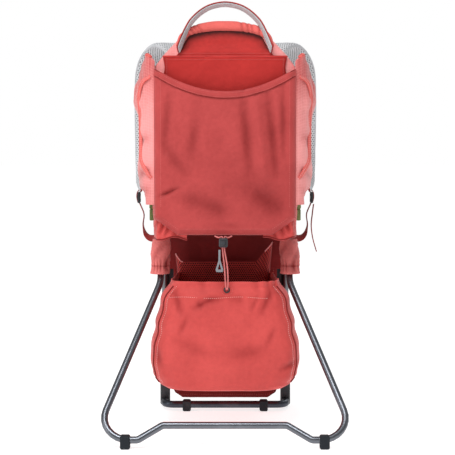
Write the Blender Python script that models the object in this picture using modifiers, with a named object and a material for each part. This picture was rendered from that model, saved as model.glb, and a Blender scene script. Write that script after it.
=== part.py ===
"""Child carrier backpack with a fold-out kickstand, built from its tubes, soft parts and buckles.

X runs across the wearer's back, +Y points to the wearer and Z is up. Y is counted from the plane
of the main frame, and the empty named carrier_origin moves everything to the middle of the floor print.
"""
import math

import bmesh
import bpy
from mathutils import Matrix, Vector

# Where the main frame's plane stands, so that the whole carrier is centred on the origin.
FRAME_PLANE = 0.0877
GAP = 0.0004
FIT = 0.0003

# Tubes
TUBE_R = 0.00625
FRAME_HALF = 0.120
FRAME_TOP = 0.700
FRAME_BEND = 0.055
FRAME_FOOT = 0.030
BASE_R = 0.0070
BASE_Z = 0.0125
BASE_DEPTH = 0.050
BASE_BEND = 0.020
BASE_FOOT_X = 0.0755
FOOT_WIDTH = 0.016
CLAMP_WALL = 0.00325
JOINT_TOP = 0.056

# Kickstand, drawn flat: u is the distance from the middle, v the distance below the pivot
STAND_ANGLE = math.radians(42)
PIVOT_Y = -0.060
PIVOT_Z = 0.360
STAND_HALF = FRAME_HALF + 0.0015
STAND_STRAIGHT = 0.130
STAND_REACH = 0.464
STAND_CORNER_U = STAND_HALF + 0.1045
STAND_RISE = 0.0286
STAND_FOOT_U = STAND_HALF + 0.0505
BAR_HALF = STAND_HALF - 0.0135
FOOT_HALF_U = STAND_HALF + 0.0285
STAND_TOP = 0.014
STAND_BENDS = (0.080, 0.045, 0.012)
BRACKET_THICK = 0.0115
BRACKET_HALF = 0.014
PIN_R = 0.0030
PIN_HEAD_R = 0.0055
PIN_HEAD = 0.0032
CROSSBAR_R = 0.0055
SLEEVE_FROM = 0.026
SLEEVE_TO = 0.109
SLEEVE_WALL = 0.0020

# Child's side
WALL_LOW = 0.362
WALL_TOP = 0.745
WALL_HALF = 0.137
WALL_Y = -0.188
WALL_THICK = 0.018
WALL_LEAN_FROM = 0.680
WALL_LEAN = 0.45
POCKET_LOW = 0.357
POCKET_SIDE_TOP = 0.656
POCKET_DIP = 0.042
POCKET_HALF = 0.130
POCKET_CORNER = (0.043, 0.030)
POCKET_DEPTH = 0.020
POCKET_BACK = WALL_Y - WALL_THICK / 2 - GAP
POCKET_FRONT = POCKET_BACK - POCKET_DEPTH
INNER_HALF = 0.112
INNER_LOW = 0.440
INNER_THICK = 0.0022
CLOTH = 0.0025
WING_THICK = 0.010
WING_REAR = -0.190
WING_FRONT = -0.014
WING_EDGE = WALL_HALF + WING_THICK / 2 + 0.0010
SEAT_LOW = 0.376
SEAT_THICK = 0.022
SEAT_Y = -0.098
SEAT_HALF = 0.098
SEAT_REACH = 0.056
HEADREST_THICK = 0.024
HEADREST_LOW = 0.560
HEADREST_TOP = 0.757
HEADREST_HALF = 0.086
HARNESS_Y = WALL_Y + WALL_THICK / 2 + HEADREST_THICK + 0.0048
HARNESS_Z = 0.520
HANDLE_R = 0.0818
HANDLE_Z = 0.7010
HANDLE_Y = POCKET_BACK - 0.0145
HANDLE_HALF = 0.0125
HANDLE_THICK = 0.0040

# Storage bag
BAG_LOW = 0.0745
BAG_TOP = 0.2725
BAG_SHUT = 0.330
BAG_FRONT = -0.240
BAG_BACK = -0.0105
BAG_WALL = 0.0040
MESH_TOP = 0.300
MESH_LOW = 0.205
MESH_HALF = 0.086
MESH_Y = -0.052
MESH_BACK = BAG_BACK - BAG_WALL - 0.0135

# Drawcord, its lock and the lock's tab
CORD_R = 0.0013
LOCK_X = -0.0030
LOCK_Y = POCKET_FRONT - 0.0156
LOCK_Z = POCKET_LOW - 0.0120
LOCK_HALF = 0.0080
EYELET_Y = BAG_FRONT + 0.0155
EYELET_Z = 0.259
TAB_NECK = 0.0018
TAB_HALF = 0.0070

# Wearer's side
PLATE_Y = TUBE_R + 0.00095
PLATE_THICK = 0.0035
PLATE_HALF = FRAME_HALF - 0.002
PLATE_LOW = 0.100
PLATE_TOP = FRAME_TOP - 0.015
PLATE_CORNER = 0.045
PANEL_LOW = 0.018
PANEL_TOP = 0.330
PAD_X = FRAME_HALF - 0.056
PAD_Z = FRAME_TOP - 0.135
PAD_SIZE = (0.033, 0.010, 0.098)
STRAP_THICK = 0.014
LADDER_X = FRAME_HALF + 0.055
LADDER_Y = 0.062
LADDER_Z = 0.415
WEBBING = 0.0016
BELT_WIDTH = 0.105
BELT_THICK = 0.016
HIP_WEB = 0.038
HIP_Y = 0.1992
HIP_Z = 0.375
CHEST_WEB = 0.020
CHEST_Y = 0.1815
CHEST_Z = 0.575

# Buckles
SIDE_BUCKLE_X = WALL_HALF + 0.0025
SIDE_BUCKLE = (-0.100, 0.400)
BUCKLE_WALL = 0.0018
TONGUE = 0.0160

ROOT = None
CARRIER = None
CUTTERS = None
PAINT = {}


# ---------------------------------------------------------------- materials

def add_material(name, colour, roughness, metallic=0.0):
    material = bpy.data.materials.new(name)
    material.use_nodes = True
    shader = material.node_tree.nodes["Principled BSDF"]
    shader.inputs["Base Color"].default_value = (*colour, 1.0)
    shader.inputs["Roughness"].default_value = roughness
    shader.inputs["Metallic"].default_value = metallic
    material.diffuse_color = (*colour, 1.0)
    PAINT[name] = material


def add_materials():
    add_material("stand_tube", (0.30, 0.31, 0.34), 0.35, 1.0)
    add_material("base_tube_metal", (0.05, 0.06, 0.08), 0.40, 1.0)
    add_material("frame_tube", (0.22, 0.23, 0.25), 0.40, 1.0)
    add_material("pin_steel", (0.55, 0.55, 0.56), 0.30, 1.0)
    add_material("black_plastic", (0.014, 0.016, 0.020), 0.45)
    add_material("foot_rubber", (0.018, 0.020, 0.024), 0.80)
    add_material("olive_plastic", (0.17, 0.20, 0.06), 0.45)
    add_material("plate_plastic", (0.05, 0.05, 0.055), 0.60)
    add_material("coral_cloth", (0.56, 0.085, 0.080), 0.75)
    add_material("deep_red_cloth", (0.58, 0.035, 0.028), 0.75)
    add_material("pale_coral_cloth", (0.80, 0.26, 0.24), 0.80)
    add_material("maroon_cloth", (0.090, 0.004, 0.004), 0.85)
    add_material("maroon_mesh", (0.20, 0.015, 0.015), 0.85)
    add_material("grey_mesh", (0.62, 0.63, 0.65), 0.90)
    add_material("belt_cloth", (0.030, 0.034, 0.042), 0.85)
    add_material("red_webbing", (0.45, 0.040, 0.035), 0.80)
    add_material("grey_webbing", (0.36, 0.37, 0.39), 0.80)
    add_material("pink_cord", (0.75, 0.22, 0.20), 0.75)
    add_material("grey_rubber", (0.30, 0.31, 0.33), 0.70)


# ---------------------------------------------------------------- modelling helpers

def add_object(name, mesh, material, origin=(0, 0, 0), matrix=None):
    """Links a mesh as one piece, drawn about its origin, or as a cutter when it has no material."""
    piece = bpy.data.objects.new(name, mesh)
    piece.parent = ROOT
    if matrix is None:
        piece.location = origin
    else:
        piece.matrix_local = matrix
    if material is None:
        CUTTERS.objects.link(piece)
        piece.hide_render = True
        piece.display_type = "WIRE"
    else:
        CARRIER.objects.link(piece)
        mesh.materials.clear()
        mesh.materials.append(PAINT[material])
    return piece


def mesh_of(name, form):
    bmesh.ops.recalc_face_normals(form, faces=form.faces)
    mesh = bpy.data.meshes.new(name)
    form.to_mesh(mesh)
    form.free()
    return mesh


def add_box(name, low, high, material=None, origin=(0, 0, 0), edge=0.0, matrix=None):
    low, high = Vector(low), Vector(high)
    form = bmesh.new()
    size = Matrix.Diagonal((*(high - low), 1.0))
    place = Matrix.Translation((low + high) / 2 - Vector(origin))
    bmesh.ops.create_cube(form, size=1.0, matrix=place @ size)
    piece = add_object(name, mesh_of(name, form), material, origin, matrix)
    if edge:
        soften(piece, edge)
    return piece


def soften(piece, width, segments=1):
    bevel = piece.modifiers.new("soft_edges", "BEVEL")
    bevel.width = width
    bevel.segments = segments
    bevel.limit_method = "ANGLE"
    bevel.angle_limit = math.radians(40)


def combine(piece, other, operation):
    boolean = piece.modifiers.new(other.name, "BOOLEAN")
    boolean.operation = operation
    boolean.solver = "EXACT"
    boolean.object = other


def cut(piece, cutter):
    combine(piece, cutter, "DIFFERENCE")


def join(piece, other):
    combine(piece, other, "UNION")


def curve_mesh(name, data, turn=None):
    """The welded mesh of a curve, so that it can be cut, bevelled and joined."""
    guide = bpy.data.objects.new(name + "_guide", data)
    CUTTERS.objects.link(guide)
    bpy.context.view_layer.update()
    graph = bpy.context.evaluated_depsgraph_get()
    found = bpy.data.meshes.new_from_object(guide.evaluated_get(graph))
    bpy.data.objects.remove(guide, do_unlink=True)
    form = bmesh.new()
    form.from_mesh(found)
    bpy.data.meshes.remove(found)
    bpy.data.curves.remove(data)
    bmesh.ops.remove_doubles(form, verts=form.verts, dist=1e-6)
    if turn is not None:
        bmesh.ops.transform(form, matrix=turn, verts=form.verts)
    return mesh_of(name, form)


def add_tube(name, route, radius, material=None, origin=(0, 0, 0), closed=False, rings=2):
    data = bpy.data.curves.new(name, "CURVE")
    data.dimensions = "3D"
    data.bevel_depth = radius
    data.bevel_resolution = rings
    data.use_fill_caps = not closed
    spline = data.splines.new("POLY")
    spline.points.add(len(route) - 1)
    for point, place in zip(spline.points, route):
        point.co = (*(Vector(place) - Vector(origin)), 1.0)
    spline.use_cyclic_u = closed
    return add_object(name, curve_mesh(name, data), material, origin)


def add_plate(name, outline, y_low, y_high, material=None, origin=(0, 0, 0)):
    """A flat outline in X and Z, as thick as the distance between its two Y values."""
    data = bpy.data.curves.new(name, "CURVE")
    data.dimensions = "2D"
    data.fill_mode = "BOTH"
    data.extrude = (y_high - y_low) / 2
    spline = data.splines.new("POLY")
    spline.points.add(len(outline) - 1)
    for point, (x, z) in zip(spline.points, outline):
        point.co = (x - origin[0], z - origin[2], 0.0, 1.0)
    spline.use_cyclic_u = True
    stand_up = Matrix.Rotation(math.pi / 2, 4, "X")
    middle = Matrix.Translation((0, (y_low + y_high) / 2 - origin[1], 0))
    return add_object(name, curve_mesh(name, data, middle @ stand_up), material, origin)


def add_sheet(name, shape, along, across, thickness, material, origin=(0, 0, 0), edge=0.0):
    """A grid laid over a surface and thickened. shape takes u from -1 to 1 and v from 0 to 1."""
    form = bmesh.new()
    bmesh.ops.create_grid(form, x_segments=across, y_segments=along, size=1.0)
    for vert in form.verts:
        vert.co = Vector(shape(vert.co.x, (vert.co.y + 1) / 2)) - Vector(origin)
    piece = add_object(name, mesh_of(name, form), material, origin)
    solid = piece.modifiers.new("thickness", "SOLIDIFY")
    solid.thickness = thickness
    solid.offset = 0.0
    solid.use_even_offset = True
    if edge:
        soften(piece, edge)
    return piece


def add_rounded(name, place, power, cuts, material=None, origin=(0, 0, 0)):
    """A cube with rounded sides. place maps its points, -1 to 1 each way, to where they belong."""
    form = bmesh.new()
    bmesh.ops.create_cube(form, size=2.0)
    bmesh.ops.subdivide_edges(form, edges=form.edges, cuts=cuts, use_grid_fill=True)
    for vert in form.verts:
        sides = [abs(side) for side in vert.co]
        spread = sum(side ** power for side in sides) ** (1 / power)
        vert.co = Vector(place(*(vert.co * max(sides) / spread))) - Vector(origin)
    return add_object(name, mesh_of(name, form), material, origin)


def add_turned(name, profile, centre, material):
    """A profile of (radius, place along X) turned about the X axis."""
    mesh = bpy.data.meshes.new(name)
    edges = [(i, i + 1) for i in range(len(profile) - 1)]
    mesh.from_pydata([(radius, 0, -along) for radius, along in profile], edges, [])
    lay_down = Matrix.Rotation(math.pi / 2, 4, "Y")
    piece = add_object(name, mesh, material, matrix=Matrix.Translation(centre) @ lay_down)
    screw = piece.modifiers.new("turned", "SCREW")
    screw.axis = "Z"
    screw.steps = 16
    screw.render_steps = 16
    screw.use_merge_vertices = True
    screw.merge_threshold = 0.00005
    screw.use_normal_calculate = True
    screw.use_normal_flip = True
    return piece


def smooth(points, per_span):
    """A curve through chosen points, as a list of places."""
    points = [Vector(point) for point in points]
    before = 2 * points[0] - points[1]
    after = 2 * points[-1] - points[-2]
    ends = [before, *points, after]
    route = []
    for a, b, c, d in zip(ends, ends[1:], ends[2:], ends[3:]):
        for step in range(per_span):
            t = step / per_span
            pull = (c - a) * t + (2 * a - 5 * b + 4 * c - d) * t ** 2
            route.append(b + (pull + (3 * b - a - 3 * c + d) * t ** 3) / 2)
    route.append(points[-1])
    return route


def filleted(corners, steps=5):
    """A route of straight runs whose corners, given as (place, radius), are arcs."""
    route = [Vector(corners[0][0])]
    for (before, _), (here, radius), (after, _) in zip(corners, corners[1:], corners[2:]):
        here = Vector(here)
        back = (Vector(before) - here).normalized()
        ahead = (Vector(after) - here).normalized()
        half = back.angle(ahead) / 2
        reach = radius / math.tan(half)
        centre = here + (back + ahead).normalized() * radius / math.sin(half)
        start = (here + back * reach - centre).normalized()
        end = (here + ahead * reach - centre).normalized()
        for step in range(steps + 1):
            route.append(centre + start.slerp(end, step / steps) * radius)
    route.append(Vector(corners[-1][0]))
    return route


def along_route(route, v):
    """The place and the direction at v, from 0 to 1, along a route of even steps."""
    at = v * (len(route) - 1)
    index = min(int(at), len(route) - 2)
    place = route[index].lerp(route[index + 1], at - index)
    return place


def add_band(name, points, sideways, widths, thickness, material, per_span=3, across=1, edge=0.0,
             origin=(0, 0, 0)):
    """A strap along chosen points. sideways and widths hold its width's direction and size at each."""
    route = smooth(points, per_span)
    sides = smooth([Vector(side).normalized() * width / 2 for side, width in zip(sideways, widths)],
                   per_span)

    def shape(u, v):
        return along_route(route, v) + along_route(sides, v) * u

    return add_sheet(name, shape, len(route) - 1, across, thickness, material, origin, edge)


def flipped(points):
    return [(-x, y, z) for x, y, z in points]


def for_side(side, points):
    return points if side > 0 else flipped(points)


def span(side, low, high):
    """Two X values of a right-hand piece, put in order for either side."""
    return (low, high) if side > 0 else (-high, -low)


SIDES = (("left", -1), ("right", 1))
FACING_BACK = Matrix(((1, 0, 0, 0), (0, 0, -1, 0), (0, 1, 0, 0), (0, 0, 0, 1)))


# ---------------------------------------------------------------- frame

def base_route():
    half = FRAME_HALF
    corners = [((-half, 0.0, BASE_Z), 0), ((-half, -BASE_DEPTH, BASE_Z), BASE_BEND),
               ((half, -BASE_DEPTH, BASE_Z), BASE_BEND), ((half, 0.0, BASE_Z), 0)]
    return filleted(corners)


def frame_route():
    half = FRAME_HALF
    corners = [((-half, 0, FRAME_FOOT), 0), ((-half, 0, FRAME_TOP), FRAME_BEND),
               ((half, 0, FRAME_TOP), FRAME_BEND), ((half, 0, FRAME_FOOT), 0)]
    return filleted(corners, 7)


def stand_place(u, v):
    """A point of the kickstand's drawing, put where the opened kickstand stands."""
    y = PIVOT_Y - v * math.sin(STAND_ANGLE)
    z = PIVOT_Z - v * math.cos(STAND_ANGLE)
    return (u, y, z)


def stand_route():
    bar_v = STAND_REACH - STAND_RISE
    wide, corner, small = STAND_BENDS
    right = [((STAND_HALF, -STAND_TOP), 0), ((STAND_HALF, STAND_STRAIGHT), wide),
             ((STAND_CORNER_U, STAND_REACH), corner), ((FOOT_HALF_U, STAND_REACH), small),
             ((BAR_HALF, bar_v), small)]
    corners = [(stand_place(u, v), radius) for (u, v), radius in right]
    mirrored = [(stand_place(-u, v), radius) for (u, v), radius in reversed(right)]
    return filleted(corners + mirrored, 4)


def build_main_frame():
    add_tube("main_frame", frame_route(), TUBE_R, "frame_tube")


def build_base():
    add_tube("base_tube", base_route(), BASE_R, "base_tube_metal")
    frame_room = add_tube("frame_room", frame_route(), TUBE_R + FIT)
    base_room = add_tube("base_room", base_route(), BASE_R + FIT)
    for word, side in SIDES:
        out = TUBE_R + CLAMP_WALL
        low, high = span(side, FRAME_HALF - out, FRAME_HALF + out)
        joint = add_box(f"base_joint_{word}", (low, -out - 0.0015, BASE_Z - BASE_R - 0.0020),
                        (high, out + 0.0015, JOINT_TOP), "black_plastic", edge=0.0025)
        cut(joint, frame_room)
        cut(joint, base_room)
        low, high = span(side, BASE_FOOT_X - FOOT_WIDTH / 2, BASE_FOOT_X + FOOT_WIDTH / 2)
        reach = BASE_R + 0.0030
        foot = add_box(f"base_foot_{word}", (low, -BASE_DEPTH - reach, 0.0),
                       (high, -BASE_DEPTH + reach, BASE_Z + BASE_R + 0.0020),
                       "foot_rubber", edge=0.0022)
        cut(foot, base_room)


def build_kickstand():
    pivot = (0, PIVOT_Y, PIVOT_Z)
    stand = add_tube("kickstand", stand_route(), TUBE_R, "stand_tube", pivot)
    hole = add_cylinder_x("pin_hole", (0, PIVOT_Y, PIVOT_Z), PIN_R + FIT, 2 * STAND_HALF)
    cut(stand, hole)
    room = add_tube("stand_room", stand_route(), TUBE_R + FIT)
    _, foot_y, foot_z = stand_place(0, STAND_REACH)
    for word, side in SIDES:
        low, high = span(side, STAND_FOOT_U - FOOT_WIDTH / 2 - 0.001, STAND_FOOT_U + FOOT_WIDTH / 2)
        foot = add_box(f"kickstand_foot_{word}", (low, foot_y - 0.0095, 0.0),
                       (high, foot_y + 0.0095, foot_z + TUBE_R + 0.0020),
                       "foot_rubber", pivot, edge=0.0022)
        cut(foot, room)


def add_cylinder_x(name, centre, radius, half_length):
    """A cutter along X."""
    form = bmesh.new()
    bmesh.ops.create_cone(form, cap_ends=True, segments=16, radius1=radius, radius2=radius,
                          depth=2 * half_length, matrix=Matrix.Rotation(math.pi / 2, 4, "Y"))
    return add_object(name, mesh_of(name, form), None, centre)


def build_pivots():
    frame_room = add_tube("clamp_room", frame_route(), TUBE_R + FIT)
    hole = add_cylinder_x("bracket_hole", (0, PIVOT_Y, PIVOT_Z), PIN_R + FIT, 2 * STAND_HALF)
    arm_out = STAND_HALF - TUBE_R - FIT
    arm_in = arm_out - BRACKET_THICK
    for word, side in SIDES:
        low, high = span(side, arm_in, arm_out)
        bracket = add_box(f"pivot_bracket_{word}", (low, PIVOT_Y - 0.0150, PIVOT_Z - BRACKET_HALF),
                          (high, 0.0030, PIVOT_Z + BRACKET_HALF), "black_plastic", edge=0.0020)
        low, high = span(side, arm_out - 0.0035, FRAME_HALF + TUBE_R + CLAMP_WALL)
        clamp = add_box(f"clamp_{word}", (low, -TUBE_R - 0.00375, PIVOT_Z - 0.0240),
                        (high, PLATE_Y - 0.0006, PIVOT_Z + 0.0240), edge=0.0020)
        join(bracket, clamp)
        cut(bracket, frame_room)
        cut(bracket, hole)
        inner = arm_in - FIT
        outer = STAND_HALF + TUBE_R + FIT
        profile = [(0, inner - PIN_HEAD), (PIN_HEAD_R, inner - PIN_HEAD), (PIN_HEAD_R, inner),
                   (PIN_R, inner), (PIN_R, outer), (PIN_HEAD_R, outer),
                   (PIN_HEAD_R, outer + PIN_HEAD), (0, outer + PIN_HEAD)]
        if side > 0:
            profile = [(radius, -along) for radius, along in reversed(profile)]
        add_turned(f"pivot_pin_{word}", profile, (0, PIVOT_Y, PIVOT_Z), "pin_steel")
    end = arm_in - GAP
    add_tube("seat_crossbar", [(-end, -0.030, PIVOT_Z - 0.004), (end, -0.030, PIVOT_Z - 0.004)],
             CROSSBAR_R, "frame_tube", rings=4)


def rounded_outline(half, low, high, corner, steps=4):
    """A rectangle with rounded corners, as (x, z) points."""
    outline = []
    for x, z, start in ((half, high, 0), (-half, high, 1), (-half, low, 2), (half, low, 3)):
        centre_x = x - math.copysign(corner, x)
        centre_z = z - corner if z == high else z + corner
        for step in range(steps + 1):
            turn = math.pi / 2 * (start + step / steps)
            outline.append((centre_x + corner * math.cos(turn), centre_z + corner * math.sin(turn)))
    return outline


def build_plates():
    add_plate("back_plate", rounded_outline(PLATE_HALF, PLATE_LOW, PLATE_TOP, PLATE_CORNER), PLATE_Y,
              PLATE_Y + PLATE_THICK, "plate_plastic")
    half = FRAME_HALF - TUBE_R - 0.0110
    cut_wide, cut_high = 0.018, 0.012
    outline = [(half, PANEL_TOP), (-half, PANEL_TOP), (-half, PANEL_LOW + cut_high),
               (-half + cut_wide, PANEL_LOW), (half - cut_wide, PANEL_LOW), (half, PANEL_LOW + cut_high)]
    add_plate("lower_back_panel", outline, -0.0080, -0.0040, "maroon_cloth")


# ---------------------------------------------------------------- child's side

def wall_lean(z):
    return max(0.0, z - WALL_LEAN_FROM) * WALL_LEAN


def between(z, table):
    """Reads a table of (height, value) rows, straight between them."""
    for (low, a), (high, b) in zip(table, table[1:]):
        if z <= high:
            return a + (b - a) * max(0.0, z - low) / (high - low)
    return table[-1][1]


def wall_half(z):
    """Half the rear wall's width at a height: nearly straight, then sloping shoulders."""
    narrowing = ((WALL_LOW, 0.0100), (WALL_TOP - 0.090, 0.0), (WALL_TOP - 0.062, 0.0185),
                 (WALL_TOP - 0.042, 0.0350), (WALL_TOP - 0.017, 0.0570), (WALL_TOP, 0.0770))
    return WALL_HALF - between(z, narrowing)


def build_rear_wall():
    def shape(u, v):
        z = WALL_LOW + (WALL_TOP - WALL_LOW) * v
        return (u * wall_half(z), WALL_Y + wall_lean(z), z)

    add_sheet("rear_wall", shape, 18, 6, WALL_THICK, "pale_coral_cloth", edge=0.004)


def pocket_outline(inset, lift):
    """The rear pocket's outline: cut-off corners below, with a dip in its top edge."""
    half = POCKET_HALF - inset
    low = POCKET_LOW + inset
    wide, high = (size - inset * 0.4 for size in POCKET_CORNER)
    outline = [(-half + wide, low), (half - wide, low), (half, low + high)]
    outline.append((half, POCKET_SIDE_TOP + lift))
    for step in range(1, 8):
        x = half * (1 - step / 4)
        outline.append((x, POCKET_SIDE_TOP + lift - POCKET_DIP * (1 - (x / half) ** 2)))
    outline.append((-half, POCKET_SIDE_TOP + lift))
    outline.append((-half, low + high))
    return outline


def build_rear_pocket():
    pocket = add_plate("rear_pocket", pocket_outline(0, 0), POCKET_FRONT, POCKET_BACK, "coral_cloth")
    room = add_plate("pocket_room", pocket_outline(CLOTH, 0.030), POCKET_FRONT + CLOTH, POCKET_BACK + 0.005)
    cut(pocket, room)
    add_plate("inner_panel", rounded_outline(INNER_HALF, INNER_LOW, WALL_LEAN_FROM, 0.006, 2),
              POCKET_BACK - INNER_THICK, POCKET_BACK, "deep_red_cloth")


def build_headrest():
    centre = WALL_Y + WALL_THICK / 2 + GAP + HEADREST_THICK / 2 + 0.0040

    def shape(u, v):
        z = HEADREST_LOW + (HEADREST_TOP - HEADREST_LOW) * v
        narrow = 0.020 * max(0.0, 1 - (HEADREST_TOP - z) / 0.057) ** 2
        return (u * (HEADREST_HALF - narrow), centre + wall_lean(z), z)

    add_sheet("headrest", shape, 10, 4, HEADREST_THICK, "pale_coral_cloth", edge=0.006)


def wing_bulge(z):
    """How far a side wall stands out past the rear wall at a height."""
    return between(z, ((0.400, 0.003), (0.418, 0.012), (0.430, 0.021), (0.445, 0.027), (0.475, 0.029),
                       (0.520, 0.025), (0.560, 0.027), (0.600, 0.036), (0.625, 0.036), (0.650, 0.029),
                       (0.670, 0.020), (0.690, 0.008), (0.705, 0.002)))


def build_side_walls():
    for word, side in SIDES:
        def shape(u, v, side=side):
            t = (u + 1) / 2
            y = WING_REAR + (WING_FRONT - WING_REAR) * t
            low = 0.402 + 0.050 * t
            top = 0.690 - 0.020 * t
            z = low + (top - low) * v
            bulge = max(0.0, WALL_HALF + wing_bulge(z) - WING_THICK / 2 - WING_EDGE)
            return (side * (WING_EDGE + bulge * math.sin(math.pi * t) ** 0.7), y, z)

        add_sheet(f"side_wall_{word}", shape, 12, 7, WING_THICK, "pale_coral_cloth", edge=0.003)


def build_seat():
    seat_high = SEAT_LOW + SEAT_THICK
    middle = (SEAT_LOW + seat_high) / 2

    def place(x, y, z):
        narrow = 0.35 * max(0.0, y) ** 2
        return (x * SEAT_HALF * (1 - narrow), SEAT_Y + y * SEAT_REACH, middle + z * SEAT_THICK / 2)

    add_rounded("seat", place, 6, 5, "deep_red_cloth", (0, SEAT_Y, SEAT_LOW))


def build_harness():
    front = HARNESS_Y
    for word, side in SIDES:
        points = for_side(side, [(0.045, front + 0.0042, 0.672), (0.044, front + 0.0024, 0.600),
                                 (0.040, front + 0.0024, 0.560), (0.0355, front + 0.0010, HARNESS_Z),
                                 (0.046, front - 0.0060, 0.480), (0.074, front - 0.0190, 0.445)])
        sideways = for_side(side, [(1, 0, 0), (1, 0, 0), (1, 0, 0.1), (1, 0, 0.1), (0.8, 0, 0.5),
                                   (0.55, -0.1, 0.75)])
        widths = (0.024, 0.024, 0.020, 0.012, 0.020, 0.020)
        add_band(f"harness_strap_{word}", points, sideways, widths, 0.0022, "grey_webbing")
    place = Matrix.Translation((0, front + 0.0010, HARNESS_Z))
    add_buckle("harness", place @ FACING_BACK, 0.054, 0.026, 0.009, None, "black_plastic")


def build_grab_handle():
    def shape(u, v):
        turn = math.pi * v
        z = HANDLE_Z + HANDLE_R * math.sin(turn)
        x = HANDLE_R * math.cos(turn)
        return (x, HANDLE_Y + u * HANDLE_HALF + wall_lean(z), z)

    add_sheet("grab_handle", shape, 16, 1, HANDLE_THICK, "grey_webbing", (0, HANDLE_Y, HANDLE_Z),
              edge=0.0008)


# ---------------------------------------------------------------- storage bag and closure

def bag_half(z, y):
    """Half the storage bag's width. Its front is fuller than the part between the stand's legs."""
    narrow = ((BAG_LOW, 0.112), (0.085, 0.124), (0.100, 0.134), (0.125, 0.1385), (0.150, 0.132),
              (0.190, 0.121), (0.232, 0.108), (0.2725, 0.094), (BAG_SHUT, 0.090))
    fuller = ((0.100, 0.0), (0.125, 0.0), (0.150, 0.0055), (0.172, 0.0070), (0.206, 0.0100),
              (0.232, 0.0125), (0.246, 0.0130), (0.2725, 0.0060), (BAG_SHUT, 0.0))
    share = min(1.0, max(0.0, (-0.120 - y) / 0.050))
    return between(z, narrow) + between(z, fuller) * share * share * (3 - 2 * share)


def bag_place(inset, low, high):
    """Maps the rounded cube to the bag's shape, whose front leans in towards the top."""
    middle_y = (BAG_FRONT + BAG_BACK) / 2
    half_y = (BAG_BACK - BAG_FRONT) / 2 - inset

    def place(x, y, z):
        height = (low + high) / 2 + z * (high - low) / 2
        rise = min(1.0, max(0.0, (height - 0.15) / 0.12))
        lean = 0.020 * rise * (1 - y) / 2
        depth = middle_y + y * half_y + lean
        return (x * (bag_half(height, depth) - inset), depth, height)

    return place


def build_bag():
    bag = add_rounded("storage_bag", bag_place(0, BAG_LOW, BAG_SHUT), 8, 10, "coral_cloth")
    room = add_rounded("bag_room", bag_place(BAG_WALL, BAG_LOW + BAG_WALL, BAG_SHUT + 0.030), 8, 10)
    over = add_box("bag_over", (-0.2, -0.3, BAG_TOP), (0.2, 0.05, 0.4))
    cut(bag, room)
    cut(bag, over)


def build_mesh_pocket():
    pocket = add_box("mesh_pocket", (-MESH_HALF, MESH_Y, MESH_LOW), (MESH_HALF, MESH_BACK, MESH_TOP),
                     "maroon_mesh")
    room = add_box("mesh_room", (-MESH_HALF + CLOTH, MESH_Y + CLOTH, MESH_LOW + CLOTH),
                   (MESH_HALF - CLOTH, MESH_BACK + 0.010, MESH_TOP + 0.010))
    cut(pocket, room)


def build_sleeves():
    """Cloth tubes over the kickstand's upper legs, open below, turning with the kickstand."""
    pivot = (0, PIVOT_Y, PIVOT_Z)
    reaches = ((SLEEVE_FROM, 0.0160), (0.055, 0.0180), (0.090, 0.0165), (SLEEVE_TO, 0.0180))
    for word, side in SIDES:
        def shape(u, v, side=side):
            down = SLEEVE_FROM + (SLEEVE_TO - SLEEVE_FROM) * v
            reach = between(down, reaches)
            turn = math.pi * (1 + u)
            middle = Vector(stand_place(side * (STAND_HALF + 0.0015), down))
            return middle + Vector((math.cos(turn), math.sin(turn), 0.0)) * reach

        add_ring_sheet(f"stand_sleeve_{word}", shape, 3, 12, SLEEVE_WALL, "pale_coral_cloth", pivot)


def add_ring_sheet(name, shape, along, around, thickness, material, origin):
    """A sheet whose two long sides meet, so that it becomes a tube with a wall."""
    form = bmesh.new()
    bmesh.ops.create_grid(form, x_segments=around, y_segments=along, size=1.0)
    for vert in form.verts:
        vert.co = Vector(shape(vert.co.x, (vert.co.y + 1) / 2)) - Vector(origin)
    bmesh.ops.remove_doubles(form, verts=form.verts, dist=1e-6)
    piece = add_object(name, mesh_of(name, form), material, origin)
    solid = piece.modifiers.new("thickness", "SOLIDIFY")
    solid.thickness = thickness
    solid.offset = 0.0
    return piece


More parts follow.
